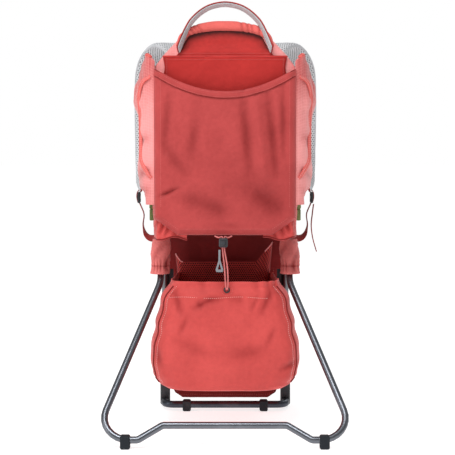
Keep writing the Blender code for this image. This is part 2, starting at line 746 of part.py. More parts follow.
def build_closure():
    x, y, z = LOCK_X, LOCK_Y, LOCK_Z
    lock = add_box("cord_lock", (x - LOCK_HALF, y - 0.0085, z - 0.0085),
                   (x + LOCK_HALF, y + 0.0055, z + 0.0085),
                   "black_plastic", edge=0.0025)
    bore = add_box("cord_bore", (x - 0.0034, y - 0.0019, z - 0.02), (x + 0.0034, y + 0.0019, z + 0.02))
    well = add_box("button_well", (x - 0.0047, y - 0.0200, z - 0.0047),
                   (x + 0.0047, y - 0.0032, z + 0.0047))
    cut(lock, bore)
    cut(lock, well)
    add_box("cord_lock_button", (x - 0.0043, y - 0.0118, z - 0.0043), (x + 0.0043, y - 0.0062, z + 0.0043),
            "grey_rubber", (x, y, z), edge=0.0010)
    top = POCKET_LOW - 0.0012
    beside = 0.0017
    left = [(x - 0.0150, y + 0.0150, top), (x - 0.0085, y + 0.0060, top - 0.0020),
            (x - beside, y, z + 0.0095), (x - beside, y, z - 0.0100), (x + 0.0020, y - 0.0020, 0.300),
            (x + 0.0040, EYELET_Y - 0.0015, EYELET_Z + 0.0090)]
    right = [(x + 0.0084, EYELET_Y - 0.0015, EYELET_Z + 0.0090), (x + 0.0072, y - 0.0020, 0.300),
             (x + beside, y, z - 0.0100), (x + beside, y, z + 0.0095),
             (x + 0.0085, y + 0.0060, top - 0.0020), (x + 0.0150, y + 0.0150, top)]
    points = [*left, (x + 0.0062, EYELET_Y, EYELET_Z), *right]
    add_tube("drawcord", smooth(points, 4), CORD_R, "pink_cord", rings=1)
    hinge = (x - 0.0070, y - 0.0130, z - 0.0150)
    neck_z, low = hinge[2] - 0.0160, hinge[2] - 0.0370
    half = [(TAB_NECK, hinge[2] + 0.0030), (TAB_NECK, neck_z), (TAB_HALF, low + 0.0040),
            (TAB_HALF - 0.0015, low)]
    outline = [(hinge[0] - out, height) for out, height in half]
    outline += [(hinge[0] + out, height) for out, height in reversed(half)]
    tab = add_plate("pull_tab", outline, hinge[1] - 0.0012, hinge[1] + 0.0012, "grey_rubber", hinge)
    window = [(hinge[0], neck_z - 0.0050), (hinge[0] - 0.0030, low + 0.0045),
              (hinge[0] + 0.0030, low + 0.0045)]
    cut(tab, add_plate("tab_window", window, hinge[1] - 0.0030, hinge[1] + 0.0030))


# ---------------------------------------------------------------- buckles

def add_buckle(name, matrix, length, width, thick, webbing, material, travel=0.020):
    """A side-release buckle. It opens along its own +X; webbing is (width, thickness) in its slots."""
    half = length / 2
    wall = BUCKLE_WALL
    socket = add_box(f"{name}_socket", (-half, -width / 2, -thick / 2), (-FIT / 2, width / 2, thick / 2),
                     material, edge=0.0015, matrix=matrix)
    cut(socket, add_box(f"{name}_mouth", (-TONGUE - 0.0015, -width / 2 + wall, -thick / 2 + wall),
                        (0.010, width / 2 - wall, thick / 2 - wall), matrix=matrix))
    clip = add_box(f"{name}_clip", (FIT / 2, -width / 2 + 0.0005, -thick / 2 + 0.0004),
                   (half, width / 2 - 0.0005, thick / 2 - 0.0004), material, edge=0.0013, matrix=matrix)
    inner = width / 2 - wall - FIT
    tongue = add_box(f"{name}_tongue", (-TONGUE, -inner, -thick / 2 + wall + FIT),
                     (0.0030, inner, thick / 2 - wall - FIT), matrix=matrix)
    join(clip, tongue)
    for low, high in ((-inner * 0.62, -inner * 0.28), (inner * 0.28, inner * 0.62)):
        cut(clip, add_box(f"{name}_prong_gap_{high > 0:d}", (-TONGUE - 0.002, low, -thick),
                          (-0.0008, high, thick), matrix=matrix))
    if webbing:
        half_web, half_deep = webbing[0] / 2 + FIT, webbing[1] / 2 + FIT
        cut(socket, add_box(f"{name}_socket_slot", (-half - 0.01, -half_web, -half_deep),
                            (-half + 0.0060, half_web, half_deep), matrix=matrix))
        cut(clip, add_box(f"{name}_clip_slot", (half - travel - 0.0045, -half_web, -half_deep),
                          (half + 0.01, half_web, half_deep), matrix=matrix))
    return socket, clip


def side_buckle_place(side):
    """Opens straight down, thin across X."""
    axes = Matrix(((0, 0, 1, 0), (0, 1, 0, 0), (-1, 0, 0, 0), (0, 0, 0, 1)))
    return Matrix.Translation((side * SIDE_BUCKLE_X, *SIDE_BUCKLE)) @ axes


def build_side_buckles():
    for word, side in SIDES:
        add_buckle(f"side_{word}", side_buckle_place(side), 0.044, 0.028, 0.0090, None, "olive_plastic")


# ---------------------------------------------------------------- wearer's side

def build_back_pads():
    y = PLATE_Y + PLATE_THICK + GAP
    for word, side in SIDES:
        wide, deep, high = PAD_SIZE

        def place(px, py, pz, middle=side * PAD_X):
            return (middle + px * wide, y + deep + py * deep, PAD_Z + pz * high)

        add_rounded(f"back_pad_{word}", place, 5, 5, "grey_mesh")


def build_hip_belt():
    y = PLATE_Y + PLATE_THICK + GAP + BELT_THICK / 2 + 0.0015
    x = FRAME_HALF
    right = [(x - 0.060, y + 0.004, 0.390), (x - 0.016, y + 0.022, 0.388), (x + 0.0055, 0.075, 0.384),
             (x + 0.0070, 0.118, 0.380), (x - 0.0120, 0.158, 0.377)]
    points = flipped(reversed(right)) + [(0, y, 0.392)] + right
    up = [(0, 0, 1)] * len(points)
    half = (0.095, 0.085, 0.072, 0.062, 0.046)
    widths = (*reversed(half), BELT_WIDTH, *half)
    add_band("hip_belt", points, up, widths, BELT_THICK, "belt_cloth", 2, 2, 0.004)
    for word, side in SIDES:
        points = for_side(side, [(x - 0.0165, 0.1665, 0.3765), (x - 0.030, 0.1840, 0.376),
                                 (x - 0.050, 0.1965, HIP_Z), (0.048, HIP_Y, HIP_Z), (0.0250, HIP_Y, HIP_Z)])
        add_band(f"hip_webbing_{word}", points, [(0, 0, 1)] * 5, [HIP_WEB] * 5, WEBBING, "red_webbing")
    add_buckle("hip", Matrix.Translation((0, HIP_Y, HIP_Z)) @ FACING_BACK, 0.056, 0.048, 0.0110,
               (HIP_WEB, WEBBING + 0.0004), "black_plastic")


def build_sternum():
    y, z = CHEST_Y, CHEST_Z
    for word, side in SIDES:
        points = for_side(side, [(FRAME_HALF + 0.060, y, z), (FRAME_HALF, y, z), (0.072, y, z),
                                 (0.0230, y, z)])
        add_band(f"sternum_webbing_{word}", points, [(0, 0, 1)] * 4, [CHEST_WEB] * 4, WEBBING,
                 "red_webbing",
                 per_span=1)
    add_buckle("sternum", Matrix.Translation((0, y, z)) @ FACING_BACK, 0.052, 0.028, 0.0085,
               (CHEST_WEB, WEBBING + 0.0004), "black_plastic")


def build_shoulder_straps():
    x, top = FRAME_HALF, FRAME_TOP
    route = [(x - 0.054, 0.040, top - 0.100), (x - 0.048, 0.052, top - 0.038),
             (x - 0.026, 0.078, top + 0.012), (x + 0.006, 0.116, top + 0.022),
             (x + 0.032, 0.152, top - 0.012), (x + 0.040, 0.168, top - 0.070),
             (x + 0.040, 0.168, 0.520), (x + 0.046, 0.134, 0.462), (x + 0.052, 0.086, 0.438)]
    for word, side in SIDES:
        sideways = [(1, 0, 0), (1, 0, 0), (0.95, -0.35, 0), (0.92, -0.40, 0), (0.98, -0.15, 0),
                    (1, 0, 0), (1, 0, 0), (0.75, 0.60, -0.10), (0.15, 0.65, -0.75)]
        widths = (0.050, 0.056, 0.060, 0.060, 0.060, 0.058, 0.056, 0.048, 0.030)
        add_band(f"shoulder_strap_{word}", for_side(side, route), for_side(side, sideways), widths,
                 STRAP_THICK, "pale_coral_cloth", 3, 2, 0.003)


def build_ladder_locks():
    x, y, z = LADDER_X, LADDER_Y, LADDER_Z
    for word, side in SIDES:
        low, high = span(side, x - 0.0025, x + 0.0025)
        lock = add_box(f"ladder_lock_{word}", (low, y - 0.0150, z - 0.0110), (high, y + 0.0150, z + 0.0110),
                       "black_plastic", edge=0.0010)
        for number, at in enumerate((z - 0.0055, z + 0.0055)):
            cut(lock, add_box(f"lock_slot_{word}_{number}", (low - 0.01, y - 0.0115, at - 0.0022),
                              (high + 0.01, y + 0.0115, at + 0.0022)))
        points = for_side(side, [(x - 0.0015, 0.060, 0.4028), (x - 0.0100, 0.054, 0.382),
                                 (x - 0.0095, 0.044, 0.360), (x - 0.0170, 0.030, 0.343),
                                 (x - 0.0305, 0.012, 0.336),
                                 (FRAME_HALF + TUBE_R + 0.00455, -0.001, 0.340)])
        sideways = for_side(side, [(0, 1, 0), (0, 1, 0), (0, 1, 0), (-0.1, 1, 0.2), (-0.2, 0.8, 0.6),
                                   (0, 0.35, 0.9)])
        add_band(f"lower_webbing_{word}", points, sideways, [0.020] * 5 + [0.016], WEBBING,
                 "red_webbing", 4)
    tail = [(x + 0.0042, 0.060, 0.4010), (x + 0.0015, 0.058, 0.380), (x - 0.0005, 0.056, 0.358),
            (x + 0.0025, 0.055, 0.333), (x + 0.0100, 0.054, 0.306)]
    add_band("strap_tail", tail, [(0, 1, 0)] * 5, [0.020] * 5, WEBBING, "red_webbing", 4)


# ---------------------------------------------------------------- build

def start_scene():
    global ROOT, CARRIER, CUTTERS
    for thing in list(bpy.data.objects):
        bpy.data.objects.remove(thing, do_unlink=True)
    CARRIER = bpy.data.collections.new("child_carrier")
    CUTTERS = bpy.data.collections.new("cutters")
    for collection in (CARRIER, CUTTERS):
        bpy.context.scene.collection.children.link(collection)
    CUTTERS.hide_render = True
    ROOT = bpy.data.objects.new("carrier_origin", None)
    ROOT.location = (0, FRAME_PLANE, 0)
    CARRIER.objects.link(ROOT)


def main():
    start_scene()
    add_materials()
    build_main_frame()
    build_base()
    build_kickstand()
    build_pivots()
    build_plates()
    build_rear_wall()
    build_rear_pocket()
    build_headrest()
    build_side_walls()
    build_seat()
    build_harness()
    build_grab_handle()
    build_bag()
    build_mesh_pocket()
    build_sleeves()
    build_closure()
    build_side_buckles()
    build_back_pads()
    build_hip_belt()
    build_sternum()
    build_shoulder_straps()
    build_ladder_locks()


main()
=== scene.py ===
# %% [markdown]
# # A framed child carrier, dressed in cloth
# The imported model holds every tube, buckle and pad at its real size. This lesson puts the
# cloth, the webbing, the stitches and the metal's finish on it. Every length is in metres.
# The model is loaded first.

# %% Load the imported model
import math

import bmesh
import bpy
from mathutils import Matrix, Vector, noise


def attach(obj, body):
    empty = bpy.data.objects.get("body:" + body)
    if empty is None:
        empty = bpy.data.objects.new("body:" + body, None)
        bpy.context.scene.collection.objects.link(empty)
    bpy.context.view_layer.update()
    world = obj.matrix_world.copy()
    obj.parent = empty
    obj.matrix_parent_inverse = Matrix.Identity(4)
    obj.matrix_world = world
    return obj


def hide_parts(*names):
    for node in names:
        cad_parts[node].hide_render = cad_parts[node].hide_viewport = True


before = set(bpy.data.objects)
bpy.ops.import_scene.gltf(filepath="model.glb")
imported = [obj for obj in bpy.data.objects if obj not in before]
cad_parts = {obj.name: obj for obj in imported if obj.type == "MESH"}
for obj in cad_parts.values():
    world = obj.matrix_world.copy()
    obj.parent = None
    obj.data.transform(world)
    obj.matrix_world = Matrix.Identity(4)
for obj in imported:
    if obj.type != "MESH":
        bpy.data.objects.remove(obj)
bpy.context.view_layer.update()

# %% [markdown]
# The carrier was drawn from the plane of its main frame, and it stands with the middle of its
# footprint on the origin. One number takes a drawn point to its place on the floor.

# %% From the drawing to the floor
FRAME_PLANE = 0.0877
SIDES = (("left", -1), ("right", 1))


def on_floor(x, y, z):
    """A drawn point, put where the carrier stands."""
    return Vector((x, y + FRAME_PLANE, z))


def blend_values(table, at):
    """Reads a table of (place, value) pairs, smoothly between its rows."""
    if at <= table[0][0]:
        return table[0][1]
    for (low, first), (high, second) in zip(table, table[1:]):
        if at <= high:
            share = (at - low) / (high - low)
            return first + (second - first) * share * share * (3 - 2 * share)
    return table[-1][1]

# %% [markdown]
# The camera looks at the child's side from 2.5 m away, a little above the middle, with a long
# lens that keeps the tubes nearly parallel.

# %% Camera
camera_data = bpy.data.cameras.new("camera")
camera_data.lens = 102.5
camera_data.sensor_width = 36.0
camera = bpy.data.objects.new("camera", camera_data)
camera.location = (0.0045, -2.4823, 0.522)
camera.rotation_euler = (math.radians(90 - 3.66), 0, 0)
bpy.context.scene.collection.objects.link(camera)
bpy.context.scene.camera = camera
print("camera at", tuple(round(side, 3) for side in camera.location))

# %% [markdown]
# Red cloth shows its folds best in soft light from above and in front. A pale floor and a
# white sky fill the shadows, one wide panel above gives the folds their shape, and a weaker
# one from the left keeps the round tubes bright on one side. A third one behind lights the
# wearer's side.

# %% Floor, sky and lamps
scene = bpy.context.scene
scene.view_settings.view_transform = "Standard"
floor_mesh = bpy.data.meshes.new("studio_floor")
floor_mesh.from_pydata([(-30, -30, 0), (30, -30, 0), (30, 30, 0), (-30, 30, 0)], [], [(0, 1, 2, 3)])
floor = bpy.data.objects.new("studio_floor", floor_mesh)
floor_paint = bpy.data.materials.new("pale_floor")
floor_paint.use_nodes = True
floor_shader = floor_paint.node_tree.nodes["Principled BSDF"]
floor_shader.inputs["Base Color"].default_value = (0.60, 0.60, 0.60, 1)
floor_shader.inputs["Roughness"].default_value = 0.9
floor_shader.inputs["Emission Color"].default_value = (1, 1, 1, 1)
floor_shader.inputs["Emission Strength"].default_value = 0.76
floor_mesh.materials.append(floor_paint)
scene.collection.objects.link(floor)

sky = bpy.data.worlds.new("white_sky")
sky.use_nodes = True
sky.node_tree.nodes["Background"].inputs["Color"].default_value = (1, 1, 1, 1)
sky.node_tree.nodes["Background"].inputs["Strength"].default_value = 0.40
bright = sky.node_tree.nodes.new("ShaderNodeBackground")
bright.inputs["Color"].default_value = (1, 1, 1, 1)
bright.inputs["Strength"].default_value = 1.0
seen = sky.node_tree.nodes.new("ShaderNodeLightPath")
either = sky.node_tree.nodes.new("ShaderNodeMixShader")
sky.node_tree.links.new(seen.outputs["Is Camera Ray"], either.inputs[0])
sky.node_tree.links.new(sky.node_tree.nodes["Background"].outputs[0], either.inputs[1])
sky.node_tree.links.new(bright.outputs[0], either.inputs[2])
sky.node_tree.links.new(either.outputs[0], sky.node_tree.nodes["World Output"].inputs["Surface"])
scene.world = sky


def add_lamp(name, place, aim, size, power):
    data = bpy.data.lights.new(name, "AREA")
    data.shape = "RECTANGLE"
    data.size, data.size_y = size
    data.energy = power
    lamp = bpy.data.objects.new(name, data)
    lamp.location = place
    lamp.rotation_euler = (Vector(aim) - Vector(place)).to_track_quat("-Z", "Y").to_euler()
    scene.collection.objects.link(lamp)


add_lamp("lamp_above", (-0.5, -1.6, 2.6), (0, 0, 0.35), (1.3, 1.0), 46)
add_lamp("lamp_left", (-2.4, -1.2, 1.1), (0, 0, 0.4), (1.0, 1.6), 12)
add_lamp("lamp_behind", (1.2, 2.4, 1.9), (0, 0, 0.4), (1.6, 1.2), 16)
print("floor, sky and three lamps")

# %% [markdown]
# ## Finishes
# Cloth gets its look from three things: the threads, the slow change of colour over a used
# panel, and the painted shade at the bottom of folds. Each is a small node group, so that every
# cloth can use it with its own numbers. The groups give only values and colours, and the shader
# stays in each material.

# %% Helpers for node trees
def new_group(name, inputs, outputs):
    """An empty shader group with named number or colour sockets."""
    tree = bpy.data.node_groups.new(name, "ShaderNodeTree")
    for words, kind, value in inputs:
        socket = tree.interface.new_socket(words, in_out="INPUT", socket_type=kind)
        socket.default_value = value
    for words, kind in outputs:
        tree.interface.new_socket(words, in_out="OUTPUT", socket_type=kind)
    return tree, tree.nodes.new("NodeGroupInput"), tree.nodes.new("NodeGroupOutput")


def math_node(tree, operation, first, second=None):
    """A Math node whose inputs are sockets or plain numbers."""
    node = tree.nodes.new("ShaderNodeMath")
    node.operation = operation
    for place, value in enumerate((first, second)):
        if value is None:
            continue
        if isinstance(value, (int, float)):
            node.inputs[place].default_value = value
        else:
            tree.links.new(value, node.inputs[place])
    return node.outputs[0]


def mix_colours(tree, share, first, second):
    node = tree.nodes.new("ShaderNodeMix")
    node.data_type = "RGBA"
    for socket, value in ((node.inputs[0], share), (node.inputs[6], first), (node.inputs[7], second)):
        if isinstance(value, (int, float)):
            socket.default_value = value
        elif isinstance(value, tuple):
            socket.default_value = (*value, 1.0)
        else:
            tree.links.new(value, socket)
    return node.outputs[2]


def smooth_step(tree, value, low, high):
    node = tree.nodes.new("ShaderNodeMapRange")
    node.interpolation_type = "SMOOTHSTEP"
    tree.links.new(value, node.inputs[0])
    for place, number in ((1, low), (2, high), (3, 0.0), (4, 1.0)):
        if isinstance(number, (int, float)):
            node.inputs[place].default_value = number
        else:
            tree.links.new(number, node.inputs[place])
    return node.outputs[0]

# %% [markdown]
# A plain weave is a chessboard of threads: on one square the thread along the cloth is on top,
# on the next the thread across it. The group reads the cloth's own UV map, which is in metres,
# so the threads are the same size on every piece. A second pair of sockets adds the thick
# threads of a ripstop cloth, a small grid that shows as fine squares.

# %% The weave group
def make_weave():
    tree, start, end = new_group("weave", [("Thread", "NodeSocketFloat", 0.0008),
                                           ("Grid", "NodeSocketFloat", 0.005),
                                           ("Grid Strength", "NodeSocketFloat", 0.0)],
                                 [("Height", "NodeSocketFloat"), ("Lines", "NodeSocketFloat")])
    cloth_map = tree.nodes.new("ShaderNodeUVMap")
    parts = tree.nodes.new("ShaderNodeSeparateXYZ")
    tree.links.new(cloth_map.outputs[0], parts.inputs[0])
    waves, cells, lines = [], [], []
    for place in (0, 1):
        at = math_node(tree, "DIVIDE", parts.outputs[place], start.outputs["Thread"])
        waves.append(math_node(tree, "ABSOLUTE",
                               math_node(tree, "SINE", math_node(tree, "MULTIPLY", at, math.pi))))
        cells.append(math_node(tree, "FLOOR", at))
        grid = math_node(tree, "DIVIDE", parts.outputs[place], start.outputs["Grid"])
        inside = math_node(tree, "ABSOLUTE", math_node(tree, "SUBTRACT", math_node(tree, "FRACT", grid), 0.5))
        lines.append(smooth_step(tree, inside, 0.40, 0.47))
    turn = math_node(tree, "MODULO", math_node(tree, "ADD", cells[0], cells[1]), 2.0)
    turn = math_node(tree, "ABSOLUTE", turn)
    over = math_node(tree, "MULTIPLY", waves[0], turn)
    under = math_node(tree, "MULTIPLY", waves[1], math_node(tree, "SUBTRACT", 1.0, turn))
    thick = math_node(tree, "MAXIMUM", lines[0], lines[1])
    thick = math_node(tree, "MULTIPLY", thick, start.outputs["Grid Strength"])
    plain = math_node(tree, "ADD", over, under)
    tree.links.new(math_node(tree, "ADD", plain, thick), end.inputs["Height"])
    tree.links.new(thick, end.inputs["Lines"])
    return tree


weave = make_weave()
print("weave group:", len(weave.nodes), "nodes")

# %% [markdown]
# Cloth that has been packed and carried is never one red. A broad soft noise moves the colour
# between the cloth's light and dark tones, and a finer one adds the mottling of creased coating.
# The fold value that a piece carries on its points is painted shade: it darkens the bottoms of
# folds, channels and gathers, and the places under rims.

# %% The cloth colour group, with painted fold shade
def make_cloth_tone_and_fold_shade():
    tree, start, end = new_group("cloth_tone_and_fold_shade", [("Light", "NodeSocketColor", (1, 1, 1, 1)),
                                                ("Dark", "NodeSocketColor", (0, 0, 0, 1)),
                                                ("Patch Size", "NodeSocketFloat", 9.0),
                                                ("Patch Strength", "NodeSocketFloat", 0.25)],
                                 [("Colour", "NodeSocketColor"), ("Mottle", "NodeSocketFloat")])
    place = tree.nodes.new("ShaderNodeTexCoord")
    broad = tree.nodes.new("ShaderNodeTexNoise")
    fine = tree.nodes.new("ShaderNodeTexNoise")
    for node in (broad, fine):
        tree.links.new(place.outputs["Object"], node.inputs["Vector"])
    tree.links.new(start.outputs["Patch Size"], broad.inputs["Scale"])
    broad.inputs["Detail"].default_value = 4.0
    fine.inputs["Scale"].default_value = 140.0
    fine.inputs["Detail"].default_value = 3.0
    # The fold attribute is painted shade, added to the random patches to pull the colour towards the dark
    # tone.
    fold = tree.nodes.new("ShaderNodeAttribute")
    fold.attribute_name = "fold"
    patch = smooth_step(tree, broad.outputs[0], 0.38, 0.66)
    patch = math_node(tree, "MULTIPLY", patch, start.outputs["Patch Strength"])
    deep = math_node(tree, "ADD", patch, fold.outputs["Fac"])
    mottle = math_node(tree, "MULTIPLY", math_node(tree, "SUBTRACT", fine.outputs[0], 0.5), 0.30)
    share = tree.nodes.new("ShaderNodeClamp")
    tree.links.new(math_node(tree, "ADD", deep, mottle), share.inputs[0])
    tree.links.new(mix_colours(tree, share.outputs[0], start.outputs["Light"], start.outputs["Dark"]),
                   end.inputs["Colour"])
    tree.links.new(fine.outputs[0], end.inputs["Mottle"])
    return tree


cloth_tone_and_fold_shade = make_cloth_tone_and_fold_shade()
print("used cloth group:", len(cloth_tone_and_fold_shade.nodes), "nodes")

# %% [markdown]
# Every cloth material is the same small chain: colour from the cloth colour group, threads from
# the weave group into a bump, painted shade in the low places between the threads, and a little
# sheen, which is the soft light that fibres catch at the edge of a fold.

# %% Cloth materials
FINISH = {}


def place_group(material, group, **values):
    node = material.node_tree.nodes.new("ShaderNodeGroup")
    node.node_tree = group
    for words, value in values.items():
        socket = node.inputs[words.replace("_", " ")]
        socket.default_value = (*value, 1.0) if isinstance(value, tuple) else value
    return node


def start_material(name, roughness, sheen=0.0, metallic=0.0, specular=0.5):
    material = bpy.data.materials.new(name)
    material.use_nodes = True
    shader = material.node_tree.nodes["Principled BSDF"]
    shader.inputs["Roughness"].default_value = roughness
    shader.inputs["Metallic"].default_value = metallic
    shader.inputs["Sheen Weight"].default_value = sheen
    shader.inputs["Sheen Roughness"].default_value = 0.4
    shader.inputs["Specular IOR Level"].default_value = specular
    FINISH[name] = material
    return material, material.node_tree, shader


def bump_into(tree, shader, height, strength, distance):
    bump = tree.nodes.new("ShaderNodeBump")
    bump.inputs["Strength"].default_value = strength
    bump.inputs["Distance"].default_value = distance
    tree.links.new(height, bump.inputs["Height"])
    tree.links.new(bump.outputs[0], shader.inputs["Normal"])


def make_cloth(name, light, dark, thread=0.0009, grid=0.005, grid_strength=0.0, rough=0.78,
               sheen=0.15, patch=0.22, patch_size=9.0, bump=0.25):
    material, tree, shader = start_material(name, rough, sheen, specular=0.25)
    colour = place_group(material, cloth_tone_and_fold_shade, Light=light, Dark=dark, Patch_Size=patch_size,
                         Patch_Strength=patch)
    threads = place_group(material, weave, Thread=thread, Grid=grid, Grid_Strength=grid_strength)
    lines = mix_colours(tree, math_node(tree, "MULTIPLY", threads.outputs["Lines"], 0.30),
                        colour.outputs["Colour"], tuple(min(1.0, part * 1.25 + 0.02) for part in light))
    # Painted shade: the weave's low places are darkened towards the cloth's dark tone.
    thread_valley_shade = smooth_step(tree, threads.outputs["Height"], 0.0, 0.7)
    thread_valley_shade = math_node(tree, "MULTIPLY", math_node(tree, "SUBTRACT", 1.0, thread_valley_shade), 0.18)
    painted = mix_colours(tree, thread_valley_shade, lines, dark)
    tree.links.new(painted, shader.inputs["Base Color"])
    bump_into(tree, shader, threads.outputs["Height"], bump, thread * 0.4)
    return material


make_cloth("coral_cloth", (0.500, 0.060, 0.058), (0.200, 0.009, 0.009), patch=0.30, patch_size=7.5,
           rough=0.60)
make_cloth("bag_cloth", (0.700, 0.086, 0.078), (0.300, 0.016, 0.016), rough=0.58)
make_cloth("deep_red_cloth", (0.520, 0.028, 0.024), (0.230, 0.008, 0.007), thread=0.0010)
# The neck cloth's nearly black dark tone is for the painted shadow under the rim.
make_cloth("neck_cloth", (0.540, 0.032, 0.028), (0.035, 0.001, 0.001), thread=0.0010, patch=0.10)
make_cloth("rim_cloth", (0.800, 0.150, 0.130), (0.330, 0.022, 0.020), patch=0.12)
make_cloth("sleeve_cloth", (0.880, 0.220, 0.205), (0.330, 0.022, 0.020), patch=0.10, rough=0.62, sheen=0.25)
make_cloth("pale_coral_cloth", (0.880, 0.330, 0.320), (0.480, 0.062, 0.058), grid_strength=1.0,
           patch=0.30, rough=0.70, sheen=0.25)
make_cloth("maroon_cloth", (0.230, 0.012, 0.012), (0.080, 0.003, 0.003))
make_cloth("dark_seam", (0.230, 0.014, 0.013), (0.120, 0.005, 0.005), patch=0.1)
make_cloth("belt_cloth", (0.050, 0.054, 0.062), (0.016, 0.018, 0.022), thread=0.0014)
print(len(FINISH), "cloths so far")

# %% [markdown]
# Webbing is woven in ribs that run along the strap. Its UV map has the length in V and the
# width in U, so the ribs are a sine across U and the weft a finer sine along V. The outer two
# millimetres of real webbing are a flat selvedge.

# %% Webbing materials
def make_webbing(name, light, dark, rib=0.0021, weft=0.0016):
    material, tree, shader = start_material(name, 0.80, 0.2, specular=0.2)
    colour = place_group(material, cloth_tone_and_fold_shade, Light=light, Dark=dark, Patch_Size=30.0,
                         Patch_Strength=0.3)
    cloth_map = tree.nodes.new("ShaderNodeUVMap")
    parts = tree.nodes.new("ShaderNodeSeparateXYZ")
    tree.links.new(cloth_map.outputs[0], parts.inputs[0])
    ribs = math_node(tree, "ABSOLUTE", math_node(tree, "SINE", math_node(
        tree, "MULTIPLY", parts.outputs[0], math.pi / rib)))
    slant = math_node(tree, "ADD", parts.outputs[1], math_node(tree, "MULTIPLY", ribs, weft / 2))
    rows = math_node(tree, "ABSOLUTE", math_node(tree, "SINE", math_node(
        tree, "MULTIPLY", slant, math.pi / weft)))
    height = math_node(tree, "ADD", math_node(tree, "MULTIPLY", ribs, 0.7),
                       math_node(tree, "MULTIPLY", rows, 0.3))
    # Painted shade: the grooves between the ribs are darkened towards the dark tone.
    rib_groove_shade = math_node(tree, "MULTIPLY", math_node(tree, "SUBTRACT", 1.0, height), 0.55)
    tree.links.new(mix_colours(tree, rib_groove_shade, colour.outputs["Colour"], dark), shader.inputs["Base Color"])
    bump_into(tree, shader, height, 0.6, rib * 0.25)


make_webbing("red_webbing", (0.500, 0.045, 0.040), (0.150, 0.006, 0.006))
make_webbing("grey_webbing", (0.620, 0.630, 0.650), (0.260, 0.265, 0.280))
make_webbing("pink_cord", (0.800, 0.240, 0.230), (0.400, 0.050, 0.050), rib=0.0006, weft=0.0008)
make_webbing("red_binding", (0.640, 0.050, 0.045), (0.260, 0.012, 0.012), rib=0.0012)

# %% [markdown]
# Spacer mesh is a thick knit with rows of round holes, each row set half a step over from the
# last. The distance from the nearest hole's middle gives both the painted shade inside the hole
# and the dip in the bump. The same pattern, finer and in maroon, makes the pocket's open mesh.

# %% Mesh materials
def make_mesh_cloth(name, light, hole_shade, pitch, reach, rough=0.9):
    material, tree, shader = start_material(name, rough, 0.1, specular=0.2)
    cloth_map = tree.nodes.new("ShaderNodeUVMap")
    parts = tree.nodes.new("ShaderNodeSeparateXYZ")
    tree.links.new(cloth_map.outputs[0], parts.inputs[0])
    across = math_node(tree, "DIVIDE", parts.outputs[0], pitch)
    along = math_node(tree, "DIVIDE", parts.outputs[1], pitch * 0.866)
    odd = math_node(tree, "ABSOLUTE", math_node(tree, "MODULO", math_node(tree, "FLOOR", along), 2.0))
    across = math_node(tree, "ADD", across, math_node(tree, "MULTIPLY", odd, 0.5))
    off_u = math_node(tree, "SUBTRACT", math_node(tree, "FRACT", across), 0.5)
    off_v = math_node(tree, "MULTIPLY", math_node(tree, "SUBTRACT", math_node(tree, "FRACT", along), 0.5),
                      0.866)
    away = math_node(tree, "SQRT", math_node(tree, "ADD", math_node(tree, "MULTIPLY", off_u, off_u),
                                              math_node(tree, "MULTIPLY", off_v, off_v)))
    knit = smooth_step(tree, away, reach * 0.7, reach)
    colour = place_group(material, cloth_tone_and_fold_shade, Light=light, Dark=tuple(part * 0.55 for part in light),
                         Patch_Size=14.0, Patch_Strength=0.25)
    tree.links.new(mix_colours(tree, knit, hole_shade, colour.outputs["Colour"]), shader.inputs["Base Color"])
    bump_into(tree, shader, knit, 0.8, pitch * 0.3)


make_mesh_cloth("grey_mesh", (0.700, 0.710, 0.730), (0.075, 0.078, 0.085), 0.0052, 0.30)
make_mesh_cloth("dark_mesh", (0.060, 0.064, 0.072), (0.008, 0.009, 0.010), 0.0044, 0.30)
make_mesh_cloth("maroon_mesh", (0.620, 0.060, 0.054), (0.016, 0.001, 0.001), 0.0042, 0.42)
print(len(FINISH), "finishes with webbing and mesh")

# %% [markdown]
# Metal and plastic need small faults to look real: drawn tube has fine lines and rubbed
# patches, and moulded plastic has an even spark-eroded grain that is worn shiny at its edges.

# %% Metal and plastic materials
def make_wear():
    tree, start, end = new_group("wear", [("Grain Size", "NodeSocketFloat", 900.0),
                                          ("Rubbing Size", "NodeSocketFloat", 25.0)],
                                 [("Grain", "NodeSocketFloat"), ("Rubbed", "NodeSocketFloat")])
    place = tree.nodes.new("ShaderNodeTexCoord")
    for size, out, low, high in (("Grain Size", "Grain", 0.35, 0.65), ("Rubbing Size", "Rubbed", 0.48, 0.70)):
        node = tree.nodes.new("ShaderNodeTexNoise")
        node.inputs["Detail"].default_value = 5.0
        tree.links.new(place.outputs["Object"], node.inputs["Vector"])
        tree.links.new(start.outputs[size], node.inputs["Scale"])
        tree.links.new(smooth_step(tree, node.outputs[0], low, high), end.inputs[out])
    return tree


wear = make_wear()


def make_hard(name, light, worn, rough, rough_worn, metallic=0.0, grain=900.0, rubbing=25.0,
              bump=0.12, specular=0.5):
    material, tree, shader = start_material(name, rough, metallic=metallic, specular=specular)
    marks = place_group(material, wear, Grain_Size=grain, Rubbing_Size=rubbing)
    tree.links.new(mix_colours(tree, marks.outputs["Rubbed"], light, worn), shader.inputs["Base Color"])
    span = math_node(tree, "MULTIPLY", marks.outputs["Rubbed"], rough_worn - rough)
    grainy = math_node(tree, "MULTIPLY", marks.outputs["Grain"], 0.08)
    tree.links.new(math_node(tree, "ADD", math_node(tree, "ADD", span, grainy), rough),
                   shader.inputs["Roughness"])
    bump_into(tree, shader, marks.outputs["Grain"], bump, 0.0002)


